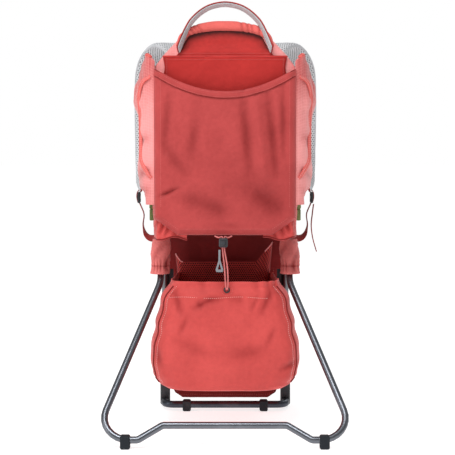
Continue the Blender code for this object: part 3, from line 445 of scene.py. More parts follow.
make_hard("stand_tube", (0.150, 0.160, 0.180), (0.190, 0.200, 0.225), 0.26, 0.32, metallic=1.0, grain=1600.0,
          bump=0.03)
make_hard("base_tube_metal", (0.060, 0.068, 0.084), (0.095, 0.105, 0.125), 0.30, 0.38, metallic=1.0,
          bump=0.03)
make_hard("frame_tube", (0.16, 0.17, 0.18), (0.24, 0.25, 0.27), 0.34, 0.44, metallic=1.0)
make_hard("pin_steel", (0.50, 0.50, 0.51), (0.36, 0.36, 0.37), 0.25, 0.38, metallic=1.0)
make_hard("black_plastic", (0.016, 0.018, 0.022), (0.034, 0.037, 0.043), 0.46, 0.34)
make_hard("foot_rubber", (0.014, 0.018, 0.023), (0.034, 0.037, 0.042), 0.70, 0.60, specular=0.3)
make_hard("olive_plastic", (0.130, 0.155, 0.035), (0.220, 0.250, 0.070), 0.36, 0.28)
make_hard("plate_plastic", (0.040, 0.041, 0.046), (0.060, 0.062, 0.068), 0.55, 0.48)
make_hard("grey_rubber", (0.22, 0.23, 0.25), (0.30, 0.31, 0.33), 0.62, 0.55)
make_cloth("red_thread", (0.66, 0.16, 0.15), (0.40, 0.05, 0.05), thread=0.0005, patch=0.1)
make_cloth("pale_thread", (0.90, 0.55, 0.53), (0.60, 0.25, 0.24), thread=0.0005, patch=0.1)
print(len(FINISH), "finishes in all")

# %% [markdown]
# ## Tools for cloth, pads and tubes
# Cloth is laid as a grid over a drawn surface. Its UV map is measured along the grid, so a
# thread is as wide at a narrow end as in the middle. A small number on each point, the fold,
# is painted shade: it says how deep in a crease or a shadow the point lies. The Solidify
# modifier gives the cloth its thickness.

# %% Lay a cloth
def mesh_piece(name, points, faces, corners, finish, folds=None):
    """A smooth mesh at the origin, with its UV map in metres and its fold values of painted shade."""
    mesh = bpy.data.meshes.new(name)
    mesh.from_pydata([on_floor(*point) for point in points], [], faces)
    layer = mesh.uv_layers.new(name="UVMap")
    layer.uv.foreach_set("vector", [number for corner in corners for number in corner])
    values = mesh.attributes.new("fold", "FLOAT", "POINT")
    if folds:
        values.data.foreach_set("value", folds)
    mesh.shade_smooth()
    mesh.materials.append(FINISH[finish])
    piece = bpy.data.objects.new(name, mesh)
    scene.collection.objects.link(piece)
    return piece


def step_lengths(places):
    total, found = 0.0, [0.0]
    for first, second in zip(places, places[1:]):
        total += (Vector(second) - Vector(first)).length
        found.append(total)
    return found


def lay_cloth(name, shape, columns, rows, finish, wall=0.0014, offset=0.0, ring=False):
    """A grid over shape(u, v), u from -1 to 1 and v from 0 to 1. shape gives x, y, z and maybe a fold value
    of painted shade.
    """
    across = columns if ring else columns + 1
    drawn = [[shape(-1 + 2 * i / columns, j / rows) for i in range(columns + 1)] for j in range(rows + 1)]
    places = [[tuple(point[:3]) for point in line] for line in drawn]
    us = step_lengths(places[rows // 2])
    vs = step_lengths([line[columns // 2] for line in places])
    points = [line[i] for line in places for i in range(across)]
    folds = [(line[i][3] if len(line[i]) > 3 else 0.0) for line in drawn for i in range(across)]
    faces, corners = [], []
    for j in range(rows):
        for i in range(columns):
            right = (i + 1) % across
            faces.append((j * across + i, j * across + right, (j + 1) * across + right, (j + 1) * across + i))
            corners += [(us[i], vs[j]), (us[i + 1], vs[j]), (us[i + 1], vs[j + 1]), (us[i], vs[j + 1])]
    piece = mesh_piece(name, points, faces, corners, finish, folds)
    if wall:
        thick = piece.modifiers.new("thickness", "SOLIDIFY")
        thick.thickness = wall
        thick.offset = offset
    return piece

# %% [markdown]
# Straps, pads and tubes are all a section carried along a route. The section is a rounded
# rectangle of any power: 2 is an ellipse, and 6 is nearly a box with soft edges. The ends are
# closed with a few rings that shrink to a point, so that no end is open or sharp.

# %% Carry a section along a route
def smooth_route(points, per_span):
    """A curve through chosen points, as a list of places."""
    points = [Vector(point) for point in points]
    ends = [2 * points[0] - points[1], *points, 2 * points[-1] - points[-2]]
    route = []
    for a, b, c, d in zip(ends, ends[1:], ends[2:], ends[3:]):
        for step in range(per_span):
            t = step / per_span
            pull = (c - a) * t + (2 * a - 5 * b + 4 * c - d) * t ** 2
            route.append(b + (pull + (3 * b - a - 3 * c + d) * t ** 3) / 2)
    route.append(points[-1])
    return route


def filleted(corners, steps=8):
    """A route of straight runs whose corners, given as (place, radius), are arcs."""
    route = [Vector(corners[0][0])]
    for (before, _), (here, radius), (after, _) in zip(corners, corners[1:], corners[2:]):
        here = Vector(here)
        back = (Vector(before) - here).normalized()
        ahead = (Vector(after) - here).normalized()
        half = back.angle(ahead) / 2
        centre = here + (back + ahead).normalized() * radius / math.sin(half)
        start = (here + back * radius / math.tan(half) - centre).normalized()
        end = (here + ahead * radius / math.tan(half) - centre).normalized()
        for step in range(steps + 1):
            route.append(centre + start.slerp(end, step / steps) * radius)
    route.append(Vector(corners[-1][0]))
    return route


def rounded(value, power):
    return math.copysign(abs(value) ** (2 / power), value)


def carry_section(name, route, sides, half_wide, half_thick, finish, power=2.0, around=20,
                  end_steps=3, dress=None):
    """A closed solid. sides, half_wide and half_thick are lists with one entry for each place."""
    count = len(route)
    rings = []
    for k, place in enumerate(route):
        ahead = route[min(k + 1, count - 1)] - route[max(k - 1, 0)]
        ahead.normalize()
        side = (sides[k] - ahead * sides[k].dot(ahead)).normalized()
        rings.append((place, ahead, side, ahead.cross(side), half_wide[k], half_thick[k]))
    capped = []
    for sign, ring in ((-1, rings[0]), (1, rings[-1])):
        place, ahead, side, up, wide, thick = ring
        reach = min(wide, thick)
        steps = [math.pi / 2 * step / end_steps for step in range(1, end_steps)]
        found = [(place + ahead * sign * reach * math.sin(turn), ahead, side, up,
                  wide - reach * (1 - math.cos(turn)), thick * math.cos(turn)) for turn in steps]
        capped.append(found if sign > 0 else found[::-1])
    rings = capped[0] + rings + capped[1]
    points, folds = [], []
    length = step_lengths([ring[0] for ring in rings])
    turns = [2 * math.pi * i / around for i in range(around)]
    for k, (place, _, side, up, wide, thick) in enumerate(rings):
        for turn in turns:
            x, y = rounded(math.cos(turn), power), rounded(math.sin(turn), power)
            # A dress gives a lift for the shape and a fold value, which is painted shade.
            lift, fold = dress(x, y, k / (len(rings) - 1), length[k]) if dress else (0.0, 0.0)
            points.append(place + side * x * wide + up * (y * thick + lift * math.copysign(1, y)))
            folds.append(fold)
    girth = [0.0]
    middle = (len(rings) // 2) * around
    for i in range(around):
        girth.append(girth[-1] + (points[middle + (i + 1) % around] - points[middle + i]).length)
    faces, corners = [], []
    for k in range(len(rings) - 1):
        for i in range(around):
            right = (i + 1) % around
            faces.append((k * around + i, k * around + right, (k + 1) * around + right, (k + 1) * around + i))
            corners += [(girth[i], length[k]), (girth[i + 1], length[k]), (girth[i + 1], length[k + 1]),
                        (girth[i], length[k + 1])]
    for first, tip, flip in ((0, rings[0], True), ((len(rings) - 1) * around, rings[-1], False)):
        reach = min(tip[4], tip[5]) * 0.3
        points.append(tip[0] + tip[1] * (-reach if flip else reach))
        folds.append(0.0)
        for i in range(around):
            right = (i + 1) % around
            face = (first + i, first + right, len(points) - 1)
            faces.append(face[::-1] if flip else face)
            corners += [(0, 0), (0.001, 0), (0, 0.001)]
    piece = mesh_piece(name, points, faces, corners, finish, folds)
    face_outwards(piece)
    return piece


def face_outwards(piece):
    """Points every face of a closed piece outwards."""
    form = bmesh.new()
    form.from_mesh(piece.data)
    bmesh.ops.recalc_face_normals(form, faces=form.faces)
    if form.calc_volume(signed=True) < 0:
        bmesh.ops.reverse_faces(form, faces=form.faces)
    form.to_mesh(piece.data)
    form.free()
    piece.data.shade_smooth()


def bend_tube(name, route, radius, finish, around=24):
    """A round tube along a route, with its section turned as little as it can be."""
    sides = []
    side = Vector((0, 0, 1)) if abs((route[1] - route[0]).normalized().z) < 0.9 else Vector((0, 1, 0))
    for k, _ in enumerate(route):
        ahead = (route[min(k + 1, len(route) - 1)] - route[max(k - 1, 0)]).normalized()
        side = (side - ahead * side.dot(ahead)).normalized()
        sides.append(side)
    flat = [radius] * len(route)
    return carry_section(name, route, sides, flat, flat, finish, 2.0, around)


def lay_strap(name, points, sideways, widths, thick, finish, per_span=5, power=5.0, around=24, dress=None):
    """A flat strap or pad along chosen points. sideways and widths hold one entry for each."""
    route = smooth_route(points, per_span)
    spread = smooth_route([Vector(side).normalized() * width / 2 for side, width in zip(sideways, widths)],
                          per_span)
    thicks = [thick / 2] * len(route) if isinstance(thick, float) else [
        value[0] / 2 for value in smooth_route([(size, 0, 0) for size in thick], per_span)]
    return carry_section(name, route, spread, [side.length for side in spread], thicks, finish, power,
                         around, dress=dress)


def mirrored(points, side):
    """The points of a right-hand piece, put on either side."""
    return [(x * side, y, z) for x, y, z in points]

# %% [markdown]
# A real fold is a soft ridge that starts and ends in nothing. Each is drawn as a short line
# across a panel with a width and a height, and a panel's surface is the sum of its folds. The
# fold value grows where the cloth dips, and it is painted shade at the bottom of the crease.

# %% Folds and creases
def fold_at(x, z, folds):
    """The height and the painted crease shade that a panel's folds give at one place."""
    height, dark = 0.0, 0.0
    for x0, z0, x1, z1, width, lift in folds:
        run_x, run_z = x1 - x0, z1 - z0
        size = run_x * run_x + run_z * run_z
        along = max(0.0, min(1.0, ((x - x0) * run_x + (z - z0) * run_z) / size))
        away = math.hypot(x - x0 - run_x * along, z - z0 - run_z * along)
        shape = math.exp(-(away / width) ** 2) * (0.25 + 0.75 * math.sin(math.pi * (0.08 + 0.84 * along)))
        height += lift * shape
        if lift < 0:
            dark += 0.55 * shape * min(1.0, -lift / 0.003)
    return height, dark


def crumple(x, y, z, size, seed):
    """Small crumples, from -1 to 1."""
    return noise.fractal(Vector((x / size + seed, y / size, z / size)), 0.6, 2.1, 3)

# %% [markdown]
# Stitches and other small repeated things are instances on a line. This tree turns guide
# edges into a curve, walks along it in equal steps, and puts one small rounded stitch at each
# step, pointing along the line.

# %% The stitching tree
def make_stitching():
    tree = bpy.data.node_groups.new("stitching", "GeometryNodeTree")
    tree.interface.new_socket("Guide", in_out="INPUT", socket_type="NodeSocketGeometry")
    for words, value in (("Stitch Pitch", 0.0036), ("Stitch Length", 0.0024), ("Thread Width", 0.0008)):
        socket = tree.interface.new_socket(words, in_out="INPUT", socket_type="NodeSocketFloat")
        socket.default_value = value
    tree.interface.new_socket("Thread", in_out="INPUT", socket_type="NodeSocketMaterial")
    tree.interface.new_socket("Stitches", in_out="OUTPUT", socket_type="NodeSocketGeometry")
    add, link = tree.nodes.new, tree.links.new
    start, end = add("NodeGroupInput"), add("NodeGroupOutput")
    curve, walk = add("GeometryNodeMeshToCurve"), add("GeometryNodeResampleCurve")
    walk.mode = "LENGTH"
    link(start.outputs["Guide"], curve.inputs[0])
    link(curve.outputs[0], walk.inputs["Curve"])
    link(start.outputs["Stitch Pitch"], walk.inputs["Length"])
    bead = add("GeometryNodeMeshIcoSphere")
    bead.inputs["Radius"].default_value = 0.5
    bead.inputs["Subdivisions"].default_value = 1
    size = add("ShaderNodeCombineXYZ")
    link(start.outputs["Stitch Length"], size.inputs[0])
    link(start.outputs["Thread Width"], size.inputs[1])
    link(start.outputs["Thread Width"], size.inputs[2])
    turn, ahead = add("FunctionNodeAlignRotationToVector"), add("GeometryNodeInputTangent")
    turn.axis = "X"
    link(ahead.outputs[0], turn.inputs["Vector"])
    put = add("GeometryNodeInstanceOnPoints")
    link(walk.outputs[0], put.inputs["Points"])
    link(bead.outputs[0], put.inputs["Instance"])
    link(turn.outputs[0], put.inputs["Rotation"])
    link(size.outputs[0], put.inputs["Scale"])
    real, paint = add("GeometryNodeRealizeInstances"), add("GeometryNodeSetMaterial")
    link(put.outputs[0], real.inputs[0])
    link(real.outputs[0], paint.inputs["Geometry"])
    link(start.outputs["Thread"], paint.inputs["Material"])
    link(paint.outputs[0], end.inputs[0])
    return tree


stitching = make_stitching()


def sew(name, lines, finish="red_thread", pitch=0.0036, length=0.0024, width=0.0009):
    """Stitches along drawn lines, as one plain mesh."""
    guide_mesh = bpy.data.meshes.new(name + "_guide")
    points, edges = [], []
    for line in lines:
        edges += [(len(points) + k, len(points) + k + 1) for k in range(len(line) - 1)]
        points += [on_floor(*place) for place in line]
    guide_mesh.from_pydata(points, edges, [])
    guide = bpy.data.objects.new(name + "_guide", guide_mesh)
    scene.collection.objects.link(guide)
    tree = guide.modifiers.new("stitching", "NODES")
    tree.node_group = stitching
    values = {"Stitch Pitch": pitch, "Stitch Length": length, "Thread Width": width, "Thread": FINISH[finish]}
    for item in stitching.interface.items_tree:
        if item.name in values:
            tree[item.identifier] = values[item.name]
    guide.update_tag()
    bpy.context.view_layer.update()
    graph = bpy.context.evaluated_depsgraph_get()
    mesh = bpy.data.meshes.new_from_object(guide.evaluated_get(graph))
    mesh.name = name
    piece = bpy.data.objects.new(name, mesh)
    scene.collection.objects.link(piece)
    bpy.data.objects.remove(guide, do_unlink=True)
    mesh.shade_smooth()
    print(name, "has", len(mesh.polygons) // 20, "stitches")
    return piece

# %% [markdown]
# ## The metal
# The kickstand is one bent aluminium tube. It is drawn flat, as the tube bender sees it, and
# then tilted to where the opened stand leans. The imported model's tube has few sides, so a
# smooth one of the same route stands for it. The main frame and the low bar are made the same
# way.

# %% Kickstand, main frame and low bar
STAND_ANGLE = math.radians(42)
PIVOT = (-0.060, 0.360)
TUBE_R = 0.00625
FRAME_HALF = 0.120
FRAME_TOP = 0.700
FRAME_FOOT = 0.030
FRAME_BEND = 0.055
BAR_R = 0.0070
BAR_HEIGHT = 0.0125
BAR_REACH = -0.050
BAR_BEND = 0.020
CROSSBAR_R = 0.0055
CROSSBAR_HALF = 0.1032


def stand_place(u, v):
    """A point of the flat drawing: u from the middle, v below the pivot."""
    return (u, PIVOT[0] - v * math.sin(STAND_ANGLE), PIVOT[1] - v * math.cos(STAND_ANGLE))


def wear_piece(piece, body, *nodes, slot=None):
    """The piece moves with the body and stands for these nodes of the model."""
    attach(piece, body)
    if nodes:
        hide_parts(*nodes)
    return piece


right_leg = [((0.1215, -0.014), 0), ((0.1215, 0.130), 0.080), ((0.226, 0.464), 0.045),
             ((0.150, 0.464), 0.012), ((0.108, 0.4354), 0.012)]
stand_corners = [(stand_place(u, v), radius) for (u, v), radius in right_leg]
stand_corners += [(stand_place(-u, v), radius) for (u, v), radius in reversed(right_leg)]
wear_piece(bend_tube("kickstand_tube", filleted(stand_corners), TUBE_R, "stand_tube"),
           "kickstand", "kickstand", slot="stand_tube")
frame_corners = [((-FRAME_HALF, 0, FRAME_FOOT), 0), ((-FRAME_HALF, 0, FRAME_TOP), FRAME_BEND),
                 ((FRAME_HALF, 0, FRAME_TOP), FRAME_BEND), ((FRAME_HALF, 0, FRAME_FOOT), 0)]
wear_piece(bend_tube("frame_hoop", filleted(frame_corners, 10), TUBE_R, "frame_tube"),
           "carrier", "main_frame", slot="frame_tube")
bar_corners = [((-FRAME_HALF, 0, BAR_HEIGHT), 0), ((-FRAME_HALF, BAR_REACH, BAR_HEIGHT), BAR_BEND),
               ((FRAME_HALF, BAR_REACH, BAR_HEIGHT), BAR_BEND), ((FRAME_HALF, 0, BAR_HEIGHT), 0)]
wear_piece(bend_tube("low_bar", filleted(bar_corners, 8), BAR_R, "base_tube_metal"),
           "carrier", "base_tube", slot="base_tube_metal")
crossbar = [Vector((x, -0.030, 0.356)) for x in (-CROSSBAR_HALF, 0, CROSSBAR_HALF)]
wear_piece(bend_tube("seat_bar", crossbar, CROSSBAR_R, "frame_tube"), "carrier", "seat_crossbar",
           slot="frame_tube")
print("four tubes")

# %% [markdown]
# Moulded and turned pieces keep the model's own shape. They only need a finish, so their
# material slots are filled and nothing is moved.

# %% Finish the moulded pieces
moulded = {"black_plastic": ["base_joint_left", "base_joint_right", "pivot_bracket_left",
                             "pivot_bracket_right", "cord_lock", "cord_lock_button", "harness_socket",
                             "harness_clip", "hip_socket", "hip_clip", "sternum_socket", "sternum_clip",
                             "ladder_lock_left", "ladder_lock_right"],
           "foot_rubber": ["base_foot_left", "base_foot_right", "kickstand_foot_left",
                           "kickstand_foot_right"],
           "pin_steel": ["pivot_pin_left", "pivot_pin_right"],
           "olive_plastic": ["side_left_socket", "side_left_clip", "side_right_socket", "side_right_clip"],
           "plate_plastic": ["back_plate"],
           "grey_rubber": ["pull_tab"]}
for finish, names in moulded.items():
    for name in names:
        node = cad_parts[name]
        node.data.materials.clear()
        node.data.materials.append(FINISH[finish])
print(sum(len(names) for names in moulded.values()), "moulded pieces finished")

# %% [markdown]
# ## The storage bag
# The bag hangs between the frame's legs. It is a loft: a rounded rectangle at every height,
# wide and low at its belly and drawn in at its mouth. The front sags, and at the mouth the
# cloth is gathered on a cord, so small pleats run down from the rim and die out.

# %% The bag's body
BAG_HALF = [(0.0745, 0.112), (0.085, 0.124), (0.100, 0.134), (0.125, 0.1385), (0.150, 0.132), (0.190, 0.121),
            (0.232, 0.108), (0.2725, 0.094)]
BAG_FULLER = [(0.125, 0.0), (0.150, 0.0055), (0.172, 0.0070), (0.206, 0.0100), (0.232, 0.0125),
              (0.246, 0.0130), (0.2725, 0.0060)]
BAG_FRONT, BAG_BACK = -0.240, -0.0105


def bag_front(z):
    return BAG_FRONT + 0.001 + 0.020 * min(1.0, max(0.0, (z - 0.15) / 0.12))


def bag_half(z, y=BAG_FRONT):
    """The front is fuller than the part between the kickstand's legs."""
    share = min(1.0, max(0.0, (-0.120 - y) / 0.050))
    return blend_values(BAG_HALF, z) + blend_values(BAG_FULLER, z) * share * share * (3 - 2 * share)


def bag_skin(x_share, y_share, z):
    """A place on the bag: the shares are -1 to 1 across and from back to front."""
    front, back = bag_front(z), BAG_BACK - 0.002
    y = (front + back) / 2 - y_share * (back - front) / 2
    return (x_share * bag_half(z, y), y, z)


BAG_FOLDS = [(-0.092, 0.256, -0.080, 0.215, 0.0065, -0.0046), (-0.010, 0.249, -0.056, 0.224, 0.0050, -0.0036),
             (-0.012, 0.256, -0.062, 0.240, 0.0060, 0.0030), (0.016, 0.262, 0.030, 0.232, 0.0045, -0.0034),
             (0.026, 0.262, 0.044, 0.222, 0.0070, 0.0034), (0.089, 0.262, 0.066, 0.215, 0.0070, -0.0036),
             (-0.048, 0.238, -0.044, 0.222, 0.0035, -0.0026), (-0.030, 0.240, -0.034, 0.216, 0.0035, -0.0026),
             (0.010, 0.242, 0.006, 0.218, 0.0035, -0.0026), (0.058, 0.244, 0.050, 0.222, 0.0035, -0.0022),
             (0.022, 0.215, 0.056, 0.168, 0.0110, 0.0034), (-0.112, 0.192, -0.070, 0.168, 0.0080, 0.0028),
             (0.134, 0.128, 0.104, 0.114, 0.0060, -0.0050), (-0.122, 0.150, -0.118, 0.122, 0.0050, -0.0030),
             (0.090, 0.186, 0.078, 0.160, 0.0060, -0.0024), (-0.086, 0.166, -0.030, 0.142, 0.0110, -0.0020),
             (0.010, 0.140, 0.080, 0.152, 0.0120, -0.0020), (-0.070, 0.205, -0.082, 0.178, 0.0050, -0.0024)]


def bag_shape(u, v):
    turn = math.pi * (u - 0.5)
    rings = [(0, (0.0, 0.0738)), (0.10, (0.60, 0.0738)), (0.18, (0.92, 0.0742)), (0.23, (0.985, 0.0765)),
             (0.27, (1.0, 0.0830)), (0.33, (1.0, 0.1000)), (1.0, (1.0, 0.2725))]
    for (low, first), (high, second) in zip(rings, rings[1:]):
        if v <= high:
            break
    share = (v - low) / (high - low)
    size = first[0] + (second[0] - first[0]) * share
    z = first[1] + (second[1] - first[1]) * share
    x_share, y_share = rounded(math.cos(turn), 5.0), -rounded(math.sin(turn), 5.0)
    x, y, z = bag_skin(x_share * size, y_share * size, z)
    # Painted shade: darker in the fold valleys and in the pleats' valleys under the mouth.
    fold, dark = 0.0, 0.0
    if y_share > 0.4 and size > 0.9:
        fold, dark = fold_at(x, z, BAG_FOLDS)
        belly = math.exp(-((z - 0.125) / 0.05) ** 2) * (1 - (x / 0.15) ** 2)
        fold += 0.0045 * belly
    pleat = max(0.0, (z - 0.236) / 0.0365) ** 1.4
    ripple = math.sin(x * 190 + 2.4 * math.sin(x * 61 + 1.0) + y * 190)
    fold += pleat * (0.0022 * ripple - 0.001) + 0.0020 * crumple(x, y, z, 0.034, 3.0) * min(1, size)
    dark += 0.40 * pleat * max(0.0, -ripple)
    pull = math.exp(-((z - 0.262) / 0.005) ** 2) * 0.0030
    return (x - math.copysign(pull, x) * 0.3, y - (fold - pull) * y_share, z + 0.0006 * pleat * ripple, dark)


def weld(piece, distance=0.00002):
    form = bmesh.new()
    form.from_mesh(piece.data)
    bmesh.ops.remove_doubles(form, verts=form.verts, dist=distance)
    form.to_mesh(piece.data)
    form.free()
    piece.data.shade_smooth()


bag = lay_cloth("bag_cloth_body", bag_shape, 240, 100, "bag_cloth", 0.0016, ring=True)
weld(bag)
wear_piece(bag, "carrier", "storage_bag", slot="coral_cloth")

# %% [markdown]
# A corded seam joins the front panel to the side gussets. It is a thin tube of binding laid on
# the corner of the bag, and a line of stitches runs beside it. A channel for the drawcord is
# stitched across the front just under the mouth, with one metal eyelet in its middle.

# %% Bag seams, channel and eyelet
seam_lines = []
for word, side in SIDES:
    route = []
    for k in range(25):
        z = 0.092 + 0.172 * k / 24
        route.append(Vector((side * (bag_half(z) - 0.0085), bag_front(z) + 0.0020, z)))
    wear_piece(bend_tube(f"bag_piping_{word}", route, 0.0014, "dark_seam", 10), "carrier", slot="red_webbing")
    seam_lines.append([(place.x - side * 0.0060, place.y - 0.0032, place.z) for place in route])
channel = [(x, bag_front(0.243) - 0.0022, 0.2440 + 0.0014 * math.sin(x * 60)) for x in
           [-0.100 + 0.176 * k / 60 for k in range(61)]]
wear_piece(sew("bag_stitches", [*seam_lines, channel], "pale_thread"), "carrier", slot="red_webbing")


def add_ring(name, centre, reach, thick, finish, squeeze=0.6, around=28, section=10):
    """A small ring facing the child's side, such as an eyelet."""
    points, faces, corners = [], [], []
    for i in range(around):
        turn = 2 * math.pi * i / around
        for j in range(section):
            roll = 2 * math.pi * j / section
            away = reach + thick * math.cos(roll)
            points.append((centre[0] + away * math.cos(turn), centre[1] + thick * squeeze * math.sin(roll),
                           centre[2] + away * math.sin(turn)))
            a, b = i * section + j, i * section + (j + 1) % section
            c, d = ((i + 1) % around) * section + (j + 1) % section, ((i + 1) % around) * section + j
            faces.append((a, b, c, d))
            corners += [(0, 0), (0.001, 0), (0.001, 0.001), (0, 0.001)]
    piece = mesh_piece(name, points, faces, corners, finish)
    face_outwards(piece)
    return piece


EYELET = (0.0032, bag_front(0.258) - 0.0018, 0.2580)
wear_piece(add_ring("bag_eyelet", EYELET, 0.0046, 0.0013, "black_plastic"), "carrier", slot="black_plastic")
wear_piece(sew("eyelet_stitches", [[(EYELET[0] + 0.0105 * math.cos(turn), EYELET[1] - 0.0004,
                                     EYELET[2] + 0.0105 * math.sin(turn)) for turn in
                                    [2 * math.pi * k / 40 for k in range(41)]]]), "carrier",
           slot="red_webbing")

# %% [markdown]
# Behind the mouth hangs a wide mesh pocket. Its top edge runs straight across the middle and
# climbs at both ends, and a thin pale binding covers the climbing parts. Behind the pocket a
# dark lining hangs from the wall to the bag, in front of the frame and the back plate.

# %% Mesh pocket and lining
MESH_EDGE = [(-0.098, 0.3080), (-0.086, 0.2935), (0.060, 0.2935), (0.093, 0.3310)]


def mesh_edge(x):
    """The height of the mesh pocket's top edge."""
    for (x0, z0), (x1, z1) in zip(MESH_EDGE, MESH_EDGE[1:]):
        if x <= x1:
            return z0 + (z1 - z0) * max(0.0, x - x0) / (x1 - x0)
    return MESH_EDGE[-1][1]


def mesh_pocket_shape(u, v):
    x = -0.0025 + u * (0.0840 + 0.0110 * v)
    z = 0.2062 + (mesh_edge(x) - 0.2062) * v
    edge = min(1.0, (1 - abs(u)) / 0.12, v / 0.08)
    # The fourth value is painted shade, darker towards the bottom, down in the bag.
    return (x, -0.0285 - 0.0160 * math.sqrt(max(0.0, 1 - (1 - edge) ** 2)) - 0.0030 * (1 - u * u) * v
            + 0.0012 * crumple(x, 0, z, 0.02, 9.0), z, 0.2 * (1 - v))


pocket_net = lay_cloth("mesh_pocket_net", mesh_pocket_shape, 76, 44, "maroon_mesh", 0.0010)
wear_piece(pocket_net, "carrier", "mesh_pocket", slot="maroon_mesh")
for word, start, end, finish in (("left", 0, 6, "pale_coral_cloth"), ("middle", 6, 70, "dark_seam"),
                                 ("right", 70, 76, "pale_coral_cloth")):
    edge = [Vector(mesh_pocket_shape(-1 + 2 * k / 76, 1.0)[:3]) for k in range(start, end + 1)]
    wear_piece(bend_tube(f"mesh_pocket_edge_{word}", edge, 0.0012, finish, 10), "carrier",
               slot="pale_coral_cloth" if finish == "pale_coral_cloth" else "maroon_cloth")


def lining_shape(u, v):
    z = 0.2760 + (0.3740 - 0.2760) * v
    x = u * 0.1180
    # The fourth value is painted shade, darker towards the top, under the seat.
    return (x, -0.0092 - 0.0014 * math.sin(x * 70 + 1.0) * math.sin(math.pi * v)
            - 0.0010 * crumple(x, 0, z, 0.03, 8.0), z, 0.35 * v)


lining = lay_cloth("cavity_lining", lining_shape, 60, 30, "maroon_cloth", 0.0010)
wear_piece(lining, "carrier", slot="maroon_cloth")

# %% [markdown]
# ## The rear pocket
# The big flat pocket covers the child's back. It is one panel whose rim turns back to the wall
# like a pillowcase, with its lower corners cut off and a scooped opening. The height of the
# cloth over the wall comes from the distance to the nearest edge, so the rim is round
# everywhere, and the folds lie on top of that.

# %% The pocket's panel
POCKET_BACK = -0.1976


def pocket_half(z):
    """Half the pocket's width: straight sides, with the lower corners cut off."""
    return 0.1295 - 0.0430 * max(0.0, 1 - (z - 0.357) / 0.030)


def pocket_top(share):
    return 0.6590 - 0.0420 * (1 - share * share) - 0.0020 * max(0.0, (abs(share) - 0.96) / 0.04) ** 2


POCKET_FOLDS = [(-0.1276, 0.4240, -0.0850, 0.4430, 0.0042, -0.0044),
                (-0.076, 0.426, -0.044, 0.416, 0.0150, -0.0026),
                (-0.034, 0.416, 0.006, 0.396, 0.0150, -0.0024), (0.050, 0.440, 0.106, 0.396, 0.0190, -0.0030),
                (0.033, 0.606, 0.046, 0.470, 0.0090, -0.0034), (0.056, 0.600, 0.074, 0.450, 0.0085, 0.0030),
                (0.078, 0.612, 0.094, 0.470, 0.0080, -0.0040), (0.106, 0.628, 0.108, 0.500, 0.0065, -0.0026),
                (-0.100, 0.610, -0.112, 0.510, 0.0080, -0.0022),
                (-0.052, 0.560, -0.062, 0.500, 0.0090, -0.0022),
                (-0.110, 0.520, -0.070, 0.470, 0.0100, -0.0020),
                (-0.006, 0.374, 0.030, 0.370, 0.0060, -0.0020)]


def pocket_height(x, z):
    """How far the pocket's cloth stands in front of the wall, and the painted shade of its folds."""
    side = 0.1295 - abs(x)
    corner = (side + (z - 0.387) * 1.433) * 0.572
    edge = max(0.0, min(side, z - 0.357, corner))
    rim = math.sqrt(max(0.0, 1 - (1 - min(1.0, edge / 0.015)) ** 2))
    fold, dark = fold_at(x, z, POCKET_FOLDS)
    inner = min(1.0, edge / 0.025)
    crown = 0.0030 * (1 - (x / 0.13) ** 2) * min(1.0, (z - 0.357) / 0.1)
    small = 0.0013 * crumple(x, 0.0, z, 0.035, 5.0) + 0.0005 * crumple(x, 0.0, z, 0.012, 6.0)
    return 0.0184 * rim + (crown + 1.5 * fold + small) * inner, dark * inner


def pocket_shape(u, v):
    share = math.sin(math.pi * u / 2)
    climb = 1 - math.cos(math.pi * v / 2)
    z = 0.357 + (pocket_top(share) - 0.357) * climb
    x = share * pocket_half(z)
    height, dark = pocket_height(x, z)
    return (x, POCKET_BACK - height, z, dark)


pocket = lay_cloth("rear_pocket_panel", pocket_shape, 150, 150, "coral_cloth", 0.0014)
wear_piece(pocket, "carrier", "rear_pocket", slot="coral_cloth")

# %% [markdown]
# The opening is finished with a wide turned hem: a band of the same cloth, sewn down with two
# rows of stitches. The band follows the scoop, and it rolls a little away from the wall.

# %% The pocket's hem and seams
def pocket_line(share_from, share_to, drop, count, out=0.0012):
    """A line on the pocket, drop below its opening."""
    line = []
    for k in range(count + 1):
        share = share_from + (share_to - share_from) * k / count
        z = pocket_top(share) - drop
        x = share * pocket_half(z)
        line.append((x, POCKET_BACK - pocket_height(x, z)[0] - out, z))
    return line


hem_line = pocket_line(-0.985, 0.985, 0.0050, 24)
hem_up = [Vector((0, -0.12, 1))] * len(hem_line)
wear_piece(lay_strap("pocket_hem", hem_line, hem_up, [0.0130] * len(hem_line), 0.0030, "coral_cloth",
                     per_span=4, power=4.0, around=16), "carrier", slot="coral_cloth")
for word, drop in (("top", -0.0008), ("low", 0.0116)):
    line = [Vector(place) for place in pocket_line(-0.985, 0.985, drop, 60, 0.0016)]
    wear_piece(bend_tube(f"pocket_hem_edge_{word}", line, 0.0009, "dark_seam", 10), "carrier",
               slot="red_webbing")
rows = [pocket_line(-0.97, 0.97, 0.0016, 80, 0.0030), pocket_line(-0.97, 0.97, 0.0092, 80, 0.0030)]
for side in (-1, 1):
    edge_line = []
    for k in range(70):
        z = 0.4100 + (0.644 - 0.4100) * k / 69
        x = side * (pocket_half(z) - 0.0125)
        edge_line.append((x, POCKET_BACK - pocket_height(x, z)[0] - 0.0006, z))
    rows.append(edge_line)
    corner_line = []
    for k in range(20):
        z = 0.3690 + 0.018 * k / 19
        x = side * (pocket_half(z) - 0.0170)
        corner_line.append((x, POCKET_BACK - pocket_height(x, z)[0] - 0.0006, z))
    rows.append(corner_line)
rows.append([(x, POCKET_BACK - pocket_height(x, 0.3685)[0] - 0.0006, 0.3685) for x in
             [-0.080 + 0.160 * k / 60 for k in range(61)]])
wear_piece(sew("pocket_stitches", rows), "carrier", slot="red_webbing")

# %% [markdown]
# ## The padded wall behind the child
# The wall is foam under cloth: round at its rim, with soft shoulders. It starts as a cube
# whose points are moved on to a rounded box, and the box is mapped on to the wall's outline.
# A short cloth simulation with a little air pressure then puffs it, so that its sides pull in
# between its corners as a sewn cushion's do.

